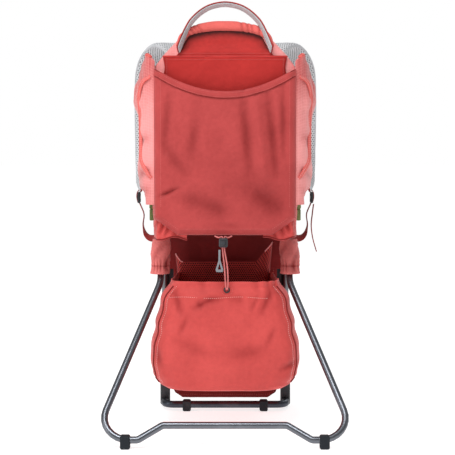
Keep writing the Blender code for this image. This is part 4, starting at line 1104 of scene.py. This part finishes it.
# %% Pillows and their puffing
def lay_pillow(name, place, power, cuts, finish):
    """A closed pillow. place maps points from -1 to 1 each way to where they belong."""
    form = bmesh.new()
    bmesh.ops.create_cube(form, size=2.0)
    bmesh.ops.subdivide_edges(form, edges=form.edges, cuts=cuts, use_grid_fill=True)
    for vert in form.verts:
        size = [abs(side) for side in vert.co]
        spread = sum(side ** power for side in size) ** (1 / power)
        vert.co = on_floor(*place(*(vert.co * max(size) / spread)))
    mesh = bpy.data.meshes.new(name)
    form.to_mesh(mesh)
    form.free()
    mesh.materials.append(FINISH[finish])
    piece = bpy.data.objects.new(name, mesh)
    scene.collection.objects.link(piece)
    face_outwards(piece)
    return piece


def flat_map(piece, axes=(0, 2)):
    """A UV map in metres, laid flat on the two named axes."""
    layer = piece.data.uv_layers.get("UVMap") or piece.data.uv_layers.new(name="UVMap")
    for corner in piece.data.loops:
        place = piece.data.vertices[corner.vertex_index].co
        layer.uv[corner.index].vector = (place[axes[0]], place[axes[1]])


def puff(piece, cap, pressure=4.0, voxel=0.005, frames=20):
    """Fills a closed piece with a little air. No point moves further than cap."""
    remesh = piece.modifiers.new("remesh", "REMESH")
    remesh.mode = "VOXEL"
    remesh.voxel_size = voxel
    apply_modifiers(piece)
    rest = [vert.co.copy() for vert in piece.data.vertices]
    cloth = piece.modifiers.new("cloth", "CLOTH")
    cloth.settings.use_pressure = True
    cloth.settings.uniform_pressure_force = pressure
    cloth.settings.effector_weights.gravity = 0
    cloth.settings.quality = 4
    cloth.point_cache.frame_start = 1
    cloth.point_cache.frame_end = frames
    for number in range(1, frames + 1):
        scene.frame_set(number)
    apply_modifiers(piece)
    scene.frame_set(1)
    for vert, before in zip(piece.data.vertices, rest):
        move = vert.co - before
        if move.length > cap:
            vert.co = before + move * (cap / move.length)
    piece.data.shade_smooth()
    return piece


def apply_modifiers(piece):
    bpy.context.view_layer.update()
    graph = bpy.context.evaluated_depsgraph_get()
    made = bpy.data.meshes.new_from_object(piece.evaluated_get(graph))
    old, name = piece.data, piece.data.name
    piece.modifiers.clear()
    piece.data = made
    bpy.data.meshes.remove(old)
    made.name = name


FACING_LEAST = 0.2


def dent(piece, lines, depth, width):
    """Presses sewn channels into a puffed piece's +Y face along drawn lines of (x, z) points, and paints
    shade into them.
    """
    values = piece.data.attributes.get("fold") or piece.data.attributes.new("fold", "FLOAT", "POINT")
    for number, vert in enumerate(piece.data.vertices):
        if vert.normal.y < FACING_LEAST:
            continue
        nearest = 1.0
        for line in lines:
            for (x0, z0), (x1, z1) in zip(line, line[1:]):
                run_x, run_z = x1 - x0, z1 - z0
                size = run_x * run_x + run_z * run_z
                along = max(0.0, min(1.0, ((vert.co.x - x0) * run_x + (vert.co.z - z0) * run_z) / size))
                nearest = min(nearest, math.hypot(vert.co.x - x0 - run_x * along,
                                                  vert.co.z - z0 - run_z * along))
        shape = math.exp(-(nearest / width) ** 2)
        vert.co.y -= depth * shape
        values.data[number].value = 0.5 * shape
    piece.data.update()


# %% The wall, its red facing and the rolled rim
WALL_Y = -0.188


def wall_lean(z):
    return max(0.0, z - 0.680) * 0.45


WALL_HALF = [(0.362, 0.1270), (0.655, 0.1370), (0.683, 0.1185), (0.703, 0.1020), (0.728, 0.0800),
             (0.745, 0.0600)]


def wall_half(z):
    """Half the wall's width: nearly straight sides, then sloping shoulders."""
    for (low, first), (high, second) in zip(WALL_HALF, WALL_HALF[1:]):
        if z <= high:
            return first + (second - first) * max(0.0, z - low) / (high - low)
    return WALL_HALF[-1][1]


def wall_place(x, y, z):
    height = 0.5535 + z * 0.1905
    half = wall_half(min(height, 0.745)) - 0.0010
    return (x * half, WALL_Y + wall_lean(height) + y * 0.0082, height)


wall = puff(lay_pillow("rear_wall_pad", wall_place, 7, 26, "pale_coral_cloth"), 0.0012, 1.5)
flat_map(wall)
wear_piece(wall, "carrier", "rear_wall", slot="pale_coral_cloth")


def facing_shape(u, v):
    """The saturated red cloth over the wall, up to where the neck panel starts."""
    z = 0.600 + (0.6815 - 0.600) * v
    x = u * (0.1115 + 0.0015 * math.sin(z * 140))
    sag = 0.0010 * math.cos(u * math.pi / 2) + 0.0008 * crumple(x, 0, z, 0.04, 1.0)
    # The fourth value is painted shade: a little all over, and more along both sides where the side walls
    # meet the facing.
    return (x, -0.19795 - sag - 0.0012, z, 0.10 + 0.55 * max(0.0, abs(u) - 0.93) / 0.07)


facing = lay_cloth("wall_facing", facing_shape, 70, 40, "deep_red_cloth", 0.0012)
wear_piece(facing, "carrier", "inner_panel", slot="deep_red_cloth")


NECK_HALF = [(0.6825, 0.0900), (0.6930, 0.0800), (0.7050, 0.0750), (0.7180, 0.0680), (0.7270, 0.0540),
             (0.7320, 0.0330)]


def neck_half(z):
    for (low, first), (high, second) in zip(NECK_HALF, NECK_HALF[1:]):
        if z <= high:
            return first + (second - first) * max(0.0, z - low) / (high - low)
    return NECK_HALF[-1][1]


def neck_shape(u, v):
    """The panel under the rim, darkest where the rim and the handle's ends shade it."""
    z = 0.6825 + (0.7320 - 0.6825) * v
    x = u * neck_half(z)
    inside = neck_half(z) * (1 - abs(u)) + 0.006 * max(0.0, (0.697 - z) / 0.004)
    roof = 0.7320 - 0.0135 * (abs(x) / 0.068) ** 2 - z
    shade = max(math.exp(-max(0.0, inside) / 0.009), math.exp(-(max(0.0, roof) / 0.0105) ** 2))
    puffed = 0.0026 * math.sin(2 * math.pi * min(1.0, v * 1.15)) ** 2 * (1 - u ** 4)
    small = 0.0010 * crumple(x, 0, z, 0.030, 2.0)
    return (x, WALL_Y + wall_lean(z) - 0.0095 - puffed - small, z, min(1.0, 0.06 + 0.95 * shade))


neck = lay_cloth("neck_panel", neck_shape, 90, 44, "neck_cloth", 0.0014)
wear_piece(neck, "carrier", slot="deep_red_cloth")


def gather(pitch, lift, seed):
    """Elastic gathers across a roll: a ripple whose pitch and height wander, with painted shade in its
    valleys.
    """
    def dress(x, y, share, length):
        wander = noise.noise(Vector((length * 60, seed, 0.0)))
        ripple = math.sin(2 * math.pi * length / pitch + 2.6 * wander + 1.2 * x)
        size = lift * (0.6 + 0.5 * noise.noise(Vector((length * 35, seed + 4, x * 0.6))))
        return size * ripple, 0.35 * max(0.0, -ripple)
    return dress


def pinch(places, depth, width):
    """A few gathers at chosen lengths along a roll that is smooth between them, with painted shade in each
    gather.
    """
    def dress(x, y, share, length):
        dip = sum(math.exp(-((length - place + 0.004 * x) / width) ** 2) for place in places)
        soft = 0.0008 * noise.noise(Vector((length * 40, x, 1.0)))
        return soft - depth * dip, min(0.35, 0.28 * dip)
    return dress


rim_points = [(-0.0860, WALL_Y + 0.0060, 0.7030), (-0.0770, WALL_Y + 0.0110, 0.7190),
              (-0.0590, WALL_Y + 0.0150, 0.7305),
              (-0.0300, WALL_Y + 0.0175, 0.7370), (0.0, WALL_Y + 0.0180, 0.7385),
              (0.0300, WALL_Y + 0.0175, 0.7370),
              (0.0590, WALL_Y + 0.0150, 0.7305), (0.0770, WALL_Y + 0.0110, 0.7190),
              (0.0860, WALL_Y + 0.0060, 0.7030)]
rim = lay_strap("headrest_rim", rim_points,
                [(-0.8, 0.2, 0.7), (-0.6, 0.3, 0.8), (-0.35, 0.35, 1), (-0.1, 0.35, 1), (0, 0.35, 1),
                                             (0.1, 0.35, 1), (0.35, 0.35, 1), (0.6, 0.3, 0.8),
                 (0.8, 0.2, 0.7)],
                [0.008, 0.014, 0.0175, 0.0195, 0.0200, 0.0195, 0.0175, 0.014, 0.008], 0.0200, "rim_cloth",
                per_span=16, power=2.2, around=32,
                dress=pinch((0.030, 0.041, 0.049, 0.056, 0.136, 0.147, 0.155, 0.170), 0.0030, 0.0026))
wear_piece(rim, "carrier", slot="pale_coral_cloth")


def headrest_place(x, y, z):
    height = 0.6555 + z * 0.0930
    narrow = 0.020 * max(0.0, (height - 0.70) / 0.057) ** 2
    return (x * (0.085 - narrow), WALL_Y + 0.0258 + wall_lean(height) + y * 0.0105, height)


headrest = puff(lay_pillow("headrest_pad", headrest_place, 5, 18, "rim_cloth"), 0.0016, 3.0)
flat_map(headrest)
dent(headrest, [[(-0.060, 0.600), (-0.055, 0.725)], [(0.060, 0.600), (0.055, 0.725)],
                [(-0.060, 0.655), (0.060, 0.655)]], 0.0035, 0.0040)
wear_piece(headrest, "carrier", "headrest", slot="pale_coral_cloth")

# %% [markdown]
# Rows of stitches hold the facing to the wall along its sides and its top, another row crosses
# the neck panel, and a corded seam marks the step between the two.

# %% Facing seams
facing_rows = [[(side * 0.1060, -0.2008, 0.612 + 0.066 * k / 30) for k in range(31)] for side in (-1, 1)]
facing_rows.append([(-0.108 + 0.216 * k / 60, -0.2012, 0.6765) for k in range(61)])
facing_rows.append([(x, WALL_Y + wall_lean(0.688) - 0.0137, 0.688) for x in
                    [-0.082 + 0.164 * k / 50 for k in range(51)]])
wear_piece(sew("facing_stitches", facing_rows), "carrier", slot="red_webbing")
seam = [Vector((-0.112 + 0.224 * k / 20, -0.2000, 0.6820)) for k in range(21)]
wear_piece(bend_tube("neck_piping", seam, 0.0017, "red_binding", 10), "carrier", slot="red_webbing")

# %% [markdown]
# ## The carry handle
# The handle is a loop of webbing: red on its outer side, with a grey lining that the fingers
# feel. It stands up in an arch, and it folds down about its two sewn ends.

# %% Handle
HANDLE_Y = -0.2119
TILT = math.radians(12)
ARCH = [(0.0855, 0.6950), (0.0785, 0.7140), (0.0690, 0.7355), (0.0600, 0.7500), (0.0440, 0.7655),
        (0.0250, 0.7760), (0.0, 0.7805)]
arch = smooth_route([(x, 0, z) for x, z in ARCH[:-1]] + [(-x, 0, z) for x, z in ARCH[::-1]], 6)


def handle_line(offset=0.0, skip=0):
    """The arch moved out from its own middle line by offset."""
    line = []
    for k in range(skip, len(arch) - skip):
        along = arch[min(k + 1, len(arch) - 1)] - arch[max(k - 1, 0)]
        out = Vector((along.z, 0, -along.x)).normalized()
        x, z = arch[k].x + out.x * offset, arch[k].z + out.z * offset
        line.append(Vector((x, HANDLE_Y + wall_lean(z), z)))
    return line


def handle_sides():
    sides = []
    for k in range(len(arch)):
        along = arch[min(k + 1, len(arch) - 1)] - arch[max(k - 1, 0)]
        out = Vector((along.z, 0, -along.x)).normalized()
        sides.append(Vector((-out.x * math.sin(TILT), math.cos(TILT), -out.z * math.sin(TILT))))
    return sides


count = len(arch)
red_loop = carry_section("handle_webbing", handle_line(0.0), handle_sides(), [0.0125] * count,
                         [0.0016] * count, "red_webbing", 3.0, 20)
grey_loop = carry_section("handle_lining", handle_line(-0.0023), handle_sides(), [0.0112] * count,
                          [0.0011] * count, "grey_webbing", 4.0, 20)
wear_piece(red_loop, "grab_handle", "grab_handle", slot="red_webbing")
wear_piece(grey_loop, "grab_handle", slot="grey_webbing")
rows = [[(place.x, place.y + offset, place.z) for place in handle_line(0.0017 - offset * math.tan(TILT), 2)]
        for offset in (-0.0090, 0.0090)]
wear_piece(sew("handle_stitches", rows), "grab_handle", slot="red_webbing")

# %% [markdown]
# ## The cockpit's side walls
# Each side wall bulges out round the child and is gathered by elastic at its top. It is one
# sheet over a drawn bulge, thickened, with its folds drawn on: fine ones that run down from
# the gathered top, and slack ones at the waist. A strip of stitched webbing runs down its rear.

# %% Side walls
WING_HALF = [(0.414, 0.1345), (0.420, 0.1400), (0.4315, 0.1530), (0.445, 0.1630), (0.472, 0.1660),
             (0.511, 0.1620),
             (0.540, 0.1620), (0.571, 0.1640), (0.603, 0.1730), (0.629, 0.1715), (0.647, 0.1640),
             (0.666, 0.1580), (0.682, 0.1470), (0.694, 0.1380)]


def wing_place(t, v, out=0.0):
    """A place on the right-hand wall: t from the child's back to the wearer, v upwards."""
    y = -0.190 + 0.176 * t
    low, top = 0.412 + 0.040 * t, 0.684 - 0.014 * t
    z = low + (top - low) * v
    bulge = max(0.0, blend_values(WING_HALF, z) - 0.0045 - 0.1415)
    swell = max(0.0, math.sin(math.pi * t)) ** 0.55
    return Vector((0.1415 + bulge * swell + out, y, z))


def wing_skin(share, v, out=0.0):
    """The wall's cloth, whose first tenth turns in to the rear wall's edge."""
    turn = max(0.0, 1 - share / 0.10)
    place = wing_place(max(0.0, (share - 0.10) / 0.90), v, out)
    return place + Vector((-0.0135 * turn, -0.0085 * turn * (2 - turn), -0.010 * turn * v))


WING_FOLDS = [(0.16, 0.84, 0.24, 0.55, 0.035, -0.0035), (0.28, 0.92, 0.32, 0.62, 0.030, -0.0030),
              (0.44, 0.94, 0.42, 0.60, 0.035, -0.0036), (0.60, 0.94, 0.58, 0.66, 0.030, -0.0030),
              (0.76, 0.92, 0.74, 0.60, 0.035, -0.0034), (0.04, 0.46, 0.40, 0.38, 0.040, -0.0040),
              (0.03, 0.24, 0.45, 0.14, 0.034, -0.0044), (0.30, 0.50, 0.80, 0.44, 0.045, -0.0026),
              (0.06, 0.10, 0.45, 0.05, 0.030, -0.0030), (0.06, 0.66, 0.34, 0.74, 0.035, 0.0024),
              (0.05, 0.36, 0.22, 0.52, 0.026, 0.0026)]
STRIP = [(0.03, 0.652), (0.12, 0.635), (0.17, 0.609), (0.20, 0.575), (0.22, 0.540), (0.22, 0.510),
         (0.17, 0.490), (0.08, 0.472), (0.02, 0.462)]

for word, side in SIDES:
    def wing_shape(u, v, side=side):
        share = (u + 1) / 2
        place = wing_skin(share, v)
        fold, dark = fold_at(share, v, WING_FOLDS)
        top = max(0.0, (v - 0.86) / 0.14)
        ripple = math.sin(share * 95 + 3.0 * noise.noise(Vector((share * 9, side, 0))))
        rim = min(1.0, 8 * min(share, 1 - share) + 0.15)
        fold = (fold + 0.0014 * crumple(share, v, 0, 0.16, side * 7.0) + top * 0.0014 * ripple) * rim
        # Painted shade: darker in the fold valleys and the gathers, towards the top, and at the bottom.
        shade = 0.50 * min(1.0, max(0.0, (v - 0.62) / 0.25)) ** 1.5 + 0.16 * (1 - min(1.0, v / 0.2))
        return (side * (place.x + fold), place.y, place.z,
                dark * rim + shade + 0.30 * top * max(0.0, -ripple))

    wing = lay_cloth(f"side_wall_cloth_{word}", wing_shape, 96, 90, "pale_coral_cloth", 0.0085)
    rounding = wing.modifiers.new("rounding", "BEVEL")
    rounding.width, rounding.segments = 0.0032, 3
    rounding.limit_method, rounding.angle_limit = "ANGLE", math.radians(50)
    wear_piece(wing, "carrier", f"side_wall_{word}", slot="pale_coral_cloth")
    strip = []
    for share, z in STRIP:
        v = (z - 0.412) / (0.684 - 0.412)
        place = wing_skin(share, v, 0.0048)
        strip.append((side * place.x, place.y - 0.0030, place.z))
    wear_piece(lay_strap(f"side_wall_strip_{word}", strip, [(side * 0.62, 0.78, 0)] * 9, [0.0100] * 9, 0.0022,
                         "rim_cloth", per_span=6, power=4.0, around=12), "carrier", slot="red_webbing")
    edges = []
    for shift in (-0.0034, 0.0034):
        edges.append([(place.x + side * (0.62 * shift + 0.0012), place.y + 0.78 * shift - 0.0010, place.z)
                      for place in smooth_route(strip, 7)])
    wear_piece(sew(f"side_wall_stitches_{word}", edges, "pale_thread"), "carrier", slot="red_webbing")
    top_edge = [wing_skin(0.07 + 0.88 * k / 16, 1.0) for k in range(17)]
    roll = [(side * place.x, place.y, place.z + 0.0010) for place in top_edge]
    wear_piece(lay_strap(f"side_wall_roll_{word}", roll, [(0, 0, 1)] * 17,
                         [0.0060] + [0.0092] * 15 + [0.0060], 0.0092,
                         "rim_cloth", per_span=8, power=2.2, around=18,
                         dress=gather(0.0080, 0.0008, side * 3.0)), "carrier", slot="pale_coral_cloth")
print("side walls laid")

# %% [markdown]
# ## Seat and harness
# The child sits on a padded shelf inside the cockpit, behind a two-strap harness with one
# buckle. The seat is a puffed pillow, and the straps are flat webbing sewn to the headrest.

# %% Seat
def seat_place(x, y, z):
    narrow = 0.35 * max(0.0, y) ** 2
    return (x * 0.097 * (1 - narrow), -0.098 + y * 0.055, 0.3872 + z * 0.0100)


seat = puff(lay_pillow("seat_pad", seat_place, 5, 16, "deep_red_cloth"), 0.0012, 2.0)
flat_map(seat, (0, 1))
wear_piece(seat, "seat", "seat", slot="deep_red_cloth")

# %% Harness straps
FRONT = -0.1502
harness_points = [(0.045, FRONT + 0.0042, 0.672), (0.044, FRONT + 0.0024, 0.600),
                  (0.040, FRONT + 0.0024, 0.560),
                  (0.0355, FRONT + 0.0010, 0.520), (0.046, FRONT - 0.0060, 0.480),
                  (0.074, FRONT - 0.0190, 0.445)]
harness_sides = [(1, 0, 0), (1, 0, 0), (1, 0, 0.1), (1, 0, 0.1), (0.8, 0, 0.5), (0.55, -0.1, 0.75)]
for word, side in SIDES:
    strap = lay_strap(f"harness_webbing_{word}", mirrored(harness_points, side),
                      mirrored(harness_sides, side),
                      [0.024, 0.024, 0.020, 0.012, 0.020, 0.020], 0.0020, "grey_webbing", 8, 5.0, 16)
    wear_piece(strap, "harness_right" if side > 0 else "carrier", f"harness_strap_{word}",
               slot="grey_webbing")
print("seat and harness")

# %% [markdown]
# ## Sleeves on the kickstand
# Where the kickstand's legs leave the cloth, each wears a short sleeve with elastic near its
# mouth. The sleeve is a tube of cloth whose radius narrows at the elastic and flares below it,
# and its gathers are a ripple round the tube that grows towards the elastic.

# %% Leg sleeves
SLEEVE = [(0.0260, 0.0158), (0.0400, 0.0172), (0.0560, 0.0180), (0.0720, 0.0176), (0.0860, 0.0164),
          (0.0930, 0.0160), (0.1000, 0.0172), (0.1085, 0.0182)]


def sleeve_ring(side, down, turn, radius):
    """A place round a leg, in a level ring."""
    x, y, z = stand_place(side * 0.1230, down)
    return (x + radius * math.cos(turn), y + radius * math.sin(turn), z)


for word, side in SIDES:
    def sleeve_shape(u, v, side=side):
        down = 0.0260 + (0.1085 - 0.0260) * v
        turn = math.pi * (1 + u)
        elastic = math.exp(-((down - 0.0905) / 0.014) ** 2)
        ripple = math.sin(turn * 11 + 2.4 * math.sin(turn * 3 + side))
        soft = crumple(math.cos(turn) * 0.02, down, math.sin(turn) * 0.02, 0.020, side * 4.0)
        radius = blend_values(SLEEVE, down) + 0.0012 * elastic * ripple + 0.0012 * soft
        # Painted shade: a dark band at the pinched elastic, and darker valleys in the gathers, the drape and
        # the crumples.
        band = 0.5 * math.exp(-((down - 0.0905) / 0.0022) ** 2)
        drape = math.sin(turn * 3 + down * 90 + side) * math.exp(-((down - 0.055) / 0.030) ** 2)
        radius += 0.0012 * drape
        paint = 0.7 * elastic * max(0.0, -ripple) + band + 0.40 * max(0.0, -drape) + 0.25 * max(0.0, -soft)
        return (*sleeve_ring(side, down, turn, radius), min(0.95, paint))

    sleeve = lay_cloth(f"leg_sleeve_{word}", sleeve_shape, 96, 56, "sleeve_cloth", 0.0014, ring=True)
    wear_piece(sleeve, "kickstand", f"stand_sleeve_{word}", slot="pale_coral_cloth")
    rings = []
    for down, radius in ((0.0870, 0.0172), (0.0940, 0.0170), (0.1055, 0.0184)):
        rings.append([sleeve_ring(side, down, 2 * math.pi * k / 48, radius) for k in range(49)])
    wear_piece(sew(f"sleeve_stitches_{word}", rings), "kickstand", slot="red_webbing")

# %% [markdown]
# Below the pocket's cut-off corners, loose gussets of cloth run down from the side walls and
# gather towards the legs. Each is a sheet that hangs in slanting folds.

# %% Gussets under the pocket
GUSSET_FOLDS = [(0.30, 0.62, 0.62, 0.10, 0.050, -0.0052), (0.52, 0.62, 0.78, 0.16, 0.040, -0.0056),
                (0.74, 0.66, 0.93, 0.22, 0.040, -0.0054), (0.05, 0.40, 0.40, 0.04, 0.045, -0.0046),
                (0.42, 0.60, 0.70, 0.12, 0.032, 0.0040), (0.64, 0.62, 0.86, 0.18, 0.030, 0.0040)]
for word, side in SIDES:
    def gusset_shape(u, v, side=side):
        t = (u + 1) / 2
        outer = 0.1310 + 0.0040 * v
        x = 0.0700 + (outer - 0.0700) * t
        z = 0.3490 + (0.4400 - 0.3490) * v + 0.0030 * math.sin(7 * t + side) * (1 - v)
        back = 0.0300 * max(0.0, (t - 0.85) / 0.15) ** 2
        # Painted shade: the fold valleys are darker, and the whole gusset a little.
        fold, dark = fold_at(t, v, GUSSET_FOLDS)
        fold += 0.0014 * crumple(x, 0, z, 0.02, side * 2.0)
        return (side * (x + fold * (t > 0.9)), -0.2015 - 0.7 * fold + back, z, dark + 0.12)

    gusset = lay_cloth(f"gusset_{word}", gusset_shape, 60, 48, "bag_cloth", 0.0012)
    wear_piece(gusset, "carrier", slot="coral_cloth")
    hem = [Vector(gusset_shape(-1 + 2 * k / 40, 0.02)[:3]) + Vector((0, -0.0012, 0)) for k in range(41)]
    wear_piece(bend_tube(f"gusset_hem_{word}", hem, 0.0012, "dark_seam", 10), "carrier", slot="red_webbing")

# %% [markdown]
# ## The drawcord
# One thin cord comes out from under the pocket, runs through the cord lock, goes down to the
# bag's eyelet and comes back up. Its route repeats the model's own points, and it is a round
# cord of 2.6 mm all the way.

# %% Cord through the lock
LOCK = (-0.0030, -0.2330, 0.3450)
x, y, z = LOCK
cord_points = [(x - 0.0150, y + 0.0150, 0.3558), (x - 0.0085, y + 0.0060, 0.3538),
               (x - 0.0017, y, z + 0.0095),
               (x - 0.0017, y, z - 0.0100), (x + 0.0020, y - 0.0020, 0.300), (x + 0.0040, -0.2260, 0.268),
               (x + 0.0062, -0.2245, 0.259), (x + 0.0084, -0.2260, 0.268), (x + 0.0072, y - 0.0020, 0.300),
               (x + 0.0017, y, z - 0.0100), (x + 0.0017, y, z + 0.0095), (x + 0.0085, y + 0.0060, 0.3538),
               (x + 0.0150, y + 0.0150, 0.3558)]
cord_route = smooth_route(cord_points, 8)
drawcord = bend_tube("drawcord_line", cord_route, 0.0013, "pink_cord", 12)
wear_piece(drawcord, "carrier", "drawcord", slot="pink_cord")
cord_length = step_lengths(cord_route)[-1]
print("the drawcord is", round(cord_length, 3), "m long")

# %% [markdown]
# ## The wearer's side
# The straps, the pads and the belt are foam between a knitted spacer mesh, which lies against
# the body, and a strong outer cloth. A strap is therefore one solid with two finishes, and a
# flat binding covers the line where they meet.

# %% A padded strap with a mesh lining
def lined_strap(name, points, sideways, widths, thick, outer, lining, body, nodes, binding="red_binding",
                per_span=7, power=3.2, around=32, lining_up=True, slot=None, mesh_until=0):
    strap = lay_strap(name, points, sideways, widths, thick, outer, per_span, power, around)
    strap.data.materials.append(FINISH[lining])
    for face in strap.data.polygons:
        number = face.index % around
        if (number < around // 2) == lining_up or face.index < mesh_until * around:
            face.material_index = 1
    wear_piece(strap, body, *nodes, slot=slot)
    route = smooth_route(points, per_span)
    spread = smooth_route([Vector(side).normalized() * width / 2 for side, width in zip(sideways, widths)],
                          per_span)
    for number, sign in enumerate((-1, 1)):
        edge = [place + side * sign for place, side in zip(route, spread)]
        thicks = [0.0030] * len(edge)
        piece = carry_section(f"{name}_binding_{number}", edge, spread, [0.0022] * len(edge), thicks, binding,
                              2.6, 12)
        wear_piece(piece, body, slot="red_webbing")
    return strap


STRAP_ROUTE = [(0.066, 0.040, 0.600), (0.072, 0.052, 0.662), (0.094, 0.078, 0.712), (0.126, 0.116, 0.722),
               (0.152, 0.152, 0.688), (0.160, 0.168, 0.630), (0.160, 0.168, 0.520), (0.166, 0.134, 0.462),
               (0.172, 0.086, 0.438)]
STRAP_SIDES = [(1, 0, 0), (1, 0, 0), (0.95, -0.35, 0), (0.92, -0.40, 0), (0.98, -0.15, 0), (1, 0, 0),
               (1, 0, 0), (0.75, 0.60, -0.10), (0.15, 0.65, -0.75)]
STRAP_WIDTHS = [0.050, 0.056, 0.060, 0.060, 0.060, 0.058, 0.056, 0.048, 0.030]
STRAP_THICKS = [0.012, 0.014, 0.014, 0.014, 0.014, 0.014, 0.014, 0.013, 0.008]
for word, side in SIDES:
    lined_strap(f"shoulder_pad_{word}", mirrored(STRAP_ROUTE, side), mirrored(STRAP_SIDES, side),
                STRAP_WIDTHS,
                STRAP_THICKS, "coral_cloth", "grey_mesh", "carrier", [f"shoulder_strap_{word}"],
                "grey_webbing", lining_up=side > 0, slot="pale_coral_cloth", mesh_until=26)
print("shoulder pads")

# %% Back pads
for word, side in SIDES:
    def pad_place(px, py, pz, side=side):
        return (side * 0.064 + px * 0.0325, 0.0211 + py * 0.0095, 0.565 + pz * 0.097)

    pad = puff(lay_pillow(f"back_pad_foam_{word}", pad_place, 5, 16, "grey_mesh"), 0.0016, 3.0)
    flat_map(pad)
    dent(pad, [[(side * 0.064 - 0.030, z), (side * 0.064 + 0.030, z)] for z in (0.510, 0.565, 0.620)],
         0.0040, 0.0045)
    wear_piece(pad, "carrier", f"back_pad_{word}", slot="grey_mesh")

# %% [markdown]
# Cloth covers the stiff back plate and the panel below it. The cover is one long sheet with
# rounded corners and two rows of stitches.

# %% Back cover and low panel
def cover_shape(u, v):
    z = 0.104 + (0.681 - 0.104) * v
    corner = 0.043
    cut_back = max(0.0, corner - min(z - 0.104, 0.681 - z))
    half = 0.1170 - (corner - math.sqrt(max(0.0, corner ** 2 - cut_back ** 2)))
    return (u * half, 0.01095 + 0.0008 + 0.0005 * crumple(u * half, 0, z, 0.05, 11.0), z, 0.0)


cover = lay_cloth("back_cover", cover_shape, 60, 120, "maroon_cloth", 0.0010)
wear_piece(cover, "carrier", slot="maroon_cloth")


def low_panel_shape(u, v):
    z = 0.0180 + (0.3295 - 0.0180) * v
    half = 0.1027 - 0.0180 * max(0.0, 1 - (z - 0.0180) / 0.0120)
    return (u * half, -0.0060 + 0.0006 * crumple(u * 0.1, 0, z, 0.04, 12.0), z, 0.2 * (1 - v))


low_panel = lay_cloth("low_back_cloth", low_panel_shape, 50, 60, "maroon_cloth", 0.0034)
wear_piece(low_panel, "carrier", "lower_back_panel", slot="maroon_cloth")
edges = [[(side * 0.0960, -0.0082, 0.030 + 0.29 * k / 80) for k in range(81)] for side in (-1, 1)]
edges.append([(-0.088 + 0.176 * k / 60, -0.0082, 0.0245) for k in range(61)])
edges += [[(side * 0.1100, 0.0129, 0.150 + 0.48 * k / 120) for k in range(121)] for side in (-1, 1)]
wear_piece(sew("back_stitches", edges), "carrier", slot="red_webbing")

# %% Hip belt
belt_y = 0.0203
belt_right = [(0.060, belt_y + 0.004, 0.390), (0.104, belt_y + 0.022, 0.388), (0.1255, 0.075, 0.384),
              (0.1270, 0.118, 0.380), (0.1080, 0.158, 0.377)]
belt_points = mirrored(belt_right[::-1], -1) + [(0, belt_y, 0.392)] + belt_right
belt_half = [0.095, 0.085, 0.072, 0.062, 0.046]
lined_strap("hip_belt_pad", belt_points, [(0, 0, 1)] * 11, belt_half[::-1] + [0.105] + belt_half,
            [0.010, 0.014, 0.016, 0.016, 0.016, 0.016, 0.016, 0.016, 0.016, 0.014, 0.010], "belt_cloth",
            "dark_mesh", "carrier", ["hip_belt"], "belt_cloth", 8, 3.4, 36, False, slot="belt_cloth")
webbing_right = [(0.1035, 0.1665, 0.3765), (0.090, 0.1840, 0.376), (0.070, 0.1965, 0.375),
                 (0.048, 0.1992, 0.375), (0.0250, 0.1992, 0.375)]
for word, side in SIDES:
    wear_piece(lay_strap(f"hip_belt_webbing_{word}", mirrored(webbing_right, side), [(0, 0, 1)] * 5,
                         [0.038] * 5, 0.0016, "red_webbing", 6, 5.0, 16), "carrier", f"hip_webbing_{word}",
               slot="red_webbing")
    line = [(0.180, 0.1815, 0.575), (0.120, 0.1815, 0.575), (0.072, 0.1815, 0.575), (0.0230, 0.1815, 0.575)]
    wear_piece(lay_strap(f"chest_webbing_{word}", mirrored(line, side), [(0, 0, 1)] * 4, [0.020] * 4, 0.0016,
                         "red_webbing", 6, 5.0, 16), "sternum_strap", f"sternum_webbing_{word}",
               slot="red_webbing")
print("hip belt and chest strap")

# %% [markdown]
# The lower webbing ties each shoulder strap to the frame through its ladder lock. On the right
# its loose end hangs free, with a slight curl.

# %% Lower webbing and its loose end
lower = [(0.1735, 0.060, 0.4028), (0.1650, 0.054, 0.382), (0.1655, 0.044, 0.360), (0.1580, 0.030, 0.343),
         (0.1445, 0.012, 0.336), (0.1308, -0.001, 0.340)]
lower_sides = [(0, 1, 0), (0, 1, 0), (0, 1, 0), (-0.1, 1, 0.2), (-0.2, 0.8, 0.6), (0, 0.35, 0.9)]
for word, side in SIDES:
    wear_piece(lay_strap(f"lower_strap_{word}", mirrored(lower, side), mirrored(lower_sides, side),
                         [0.020] * 5 + [0.016], 0.0016, "red_webbing", 6, 5.0, 16), "carrier",
               f"lower_webbing_{word}", slot="red_webbing")
    loop = [(0.1758, 0.0620, 0.4300), (0.1790, 0.0620, 0.4240), (0.1795, 0.0620, 0.4150),
            (0.1775, 0.0620, 0.4065), (0.1745, 0.0610, 0.4035)]
    wear_piece(lay_strap(f"lock_loop_{word}", mirrored(loop, side), [(0, 1, 0)] * 5, [0.0190] * 5, 0.0015,
                         "red_webbing", 5, 5.0, 16), "carrier", slot="red_webbing")
tail_points = [(0.1792, 0.060, 0.4010), (0.1765, 0.058, 0.380), (0.1745, 0.056, 0.358),
               (0.1775, 0.055, 0.333), (0.1850, 0.054, 0.306)]
tail = lay_strap("loose_end", tail_points, [(0, 1, 0)] * 5, [0.020] * 5, 0.0016, "red_webbing", 8, 5.0, 16)
wear_piece(tail, "carrier", "strap_tail", slot="red_webbing")

# %% [markdown]
# Each side buckle hangs on a short web from the bottom of the side wall. The web stays with
# the carrier when the clip is released.

# %% Webs at the side buckles
for word, side in SIDES:
    upper = [(0.1405, -0.1060, 0.4400), (0.1400, -0.1030, 0.4330), (0.1396, -0.1005, 0.4270),
             (0.1395, -0.1000, 0.4200)]
    wear_piece(lay_strap(f"side_buckle_web_{word}", mirrored(upper, side), [(0, 1, 0)] * 4, [0.0180] * 4,
                         0.0014, "red_webbing", 5, 5.0, 16), "carrier", slot="red_webbing")
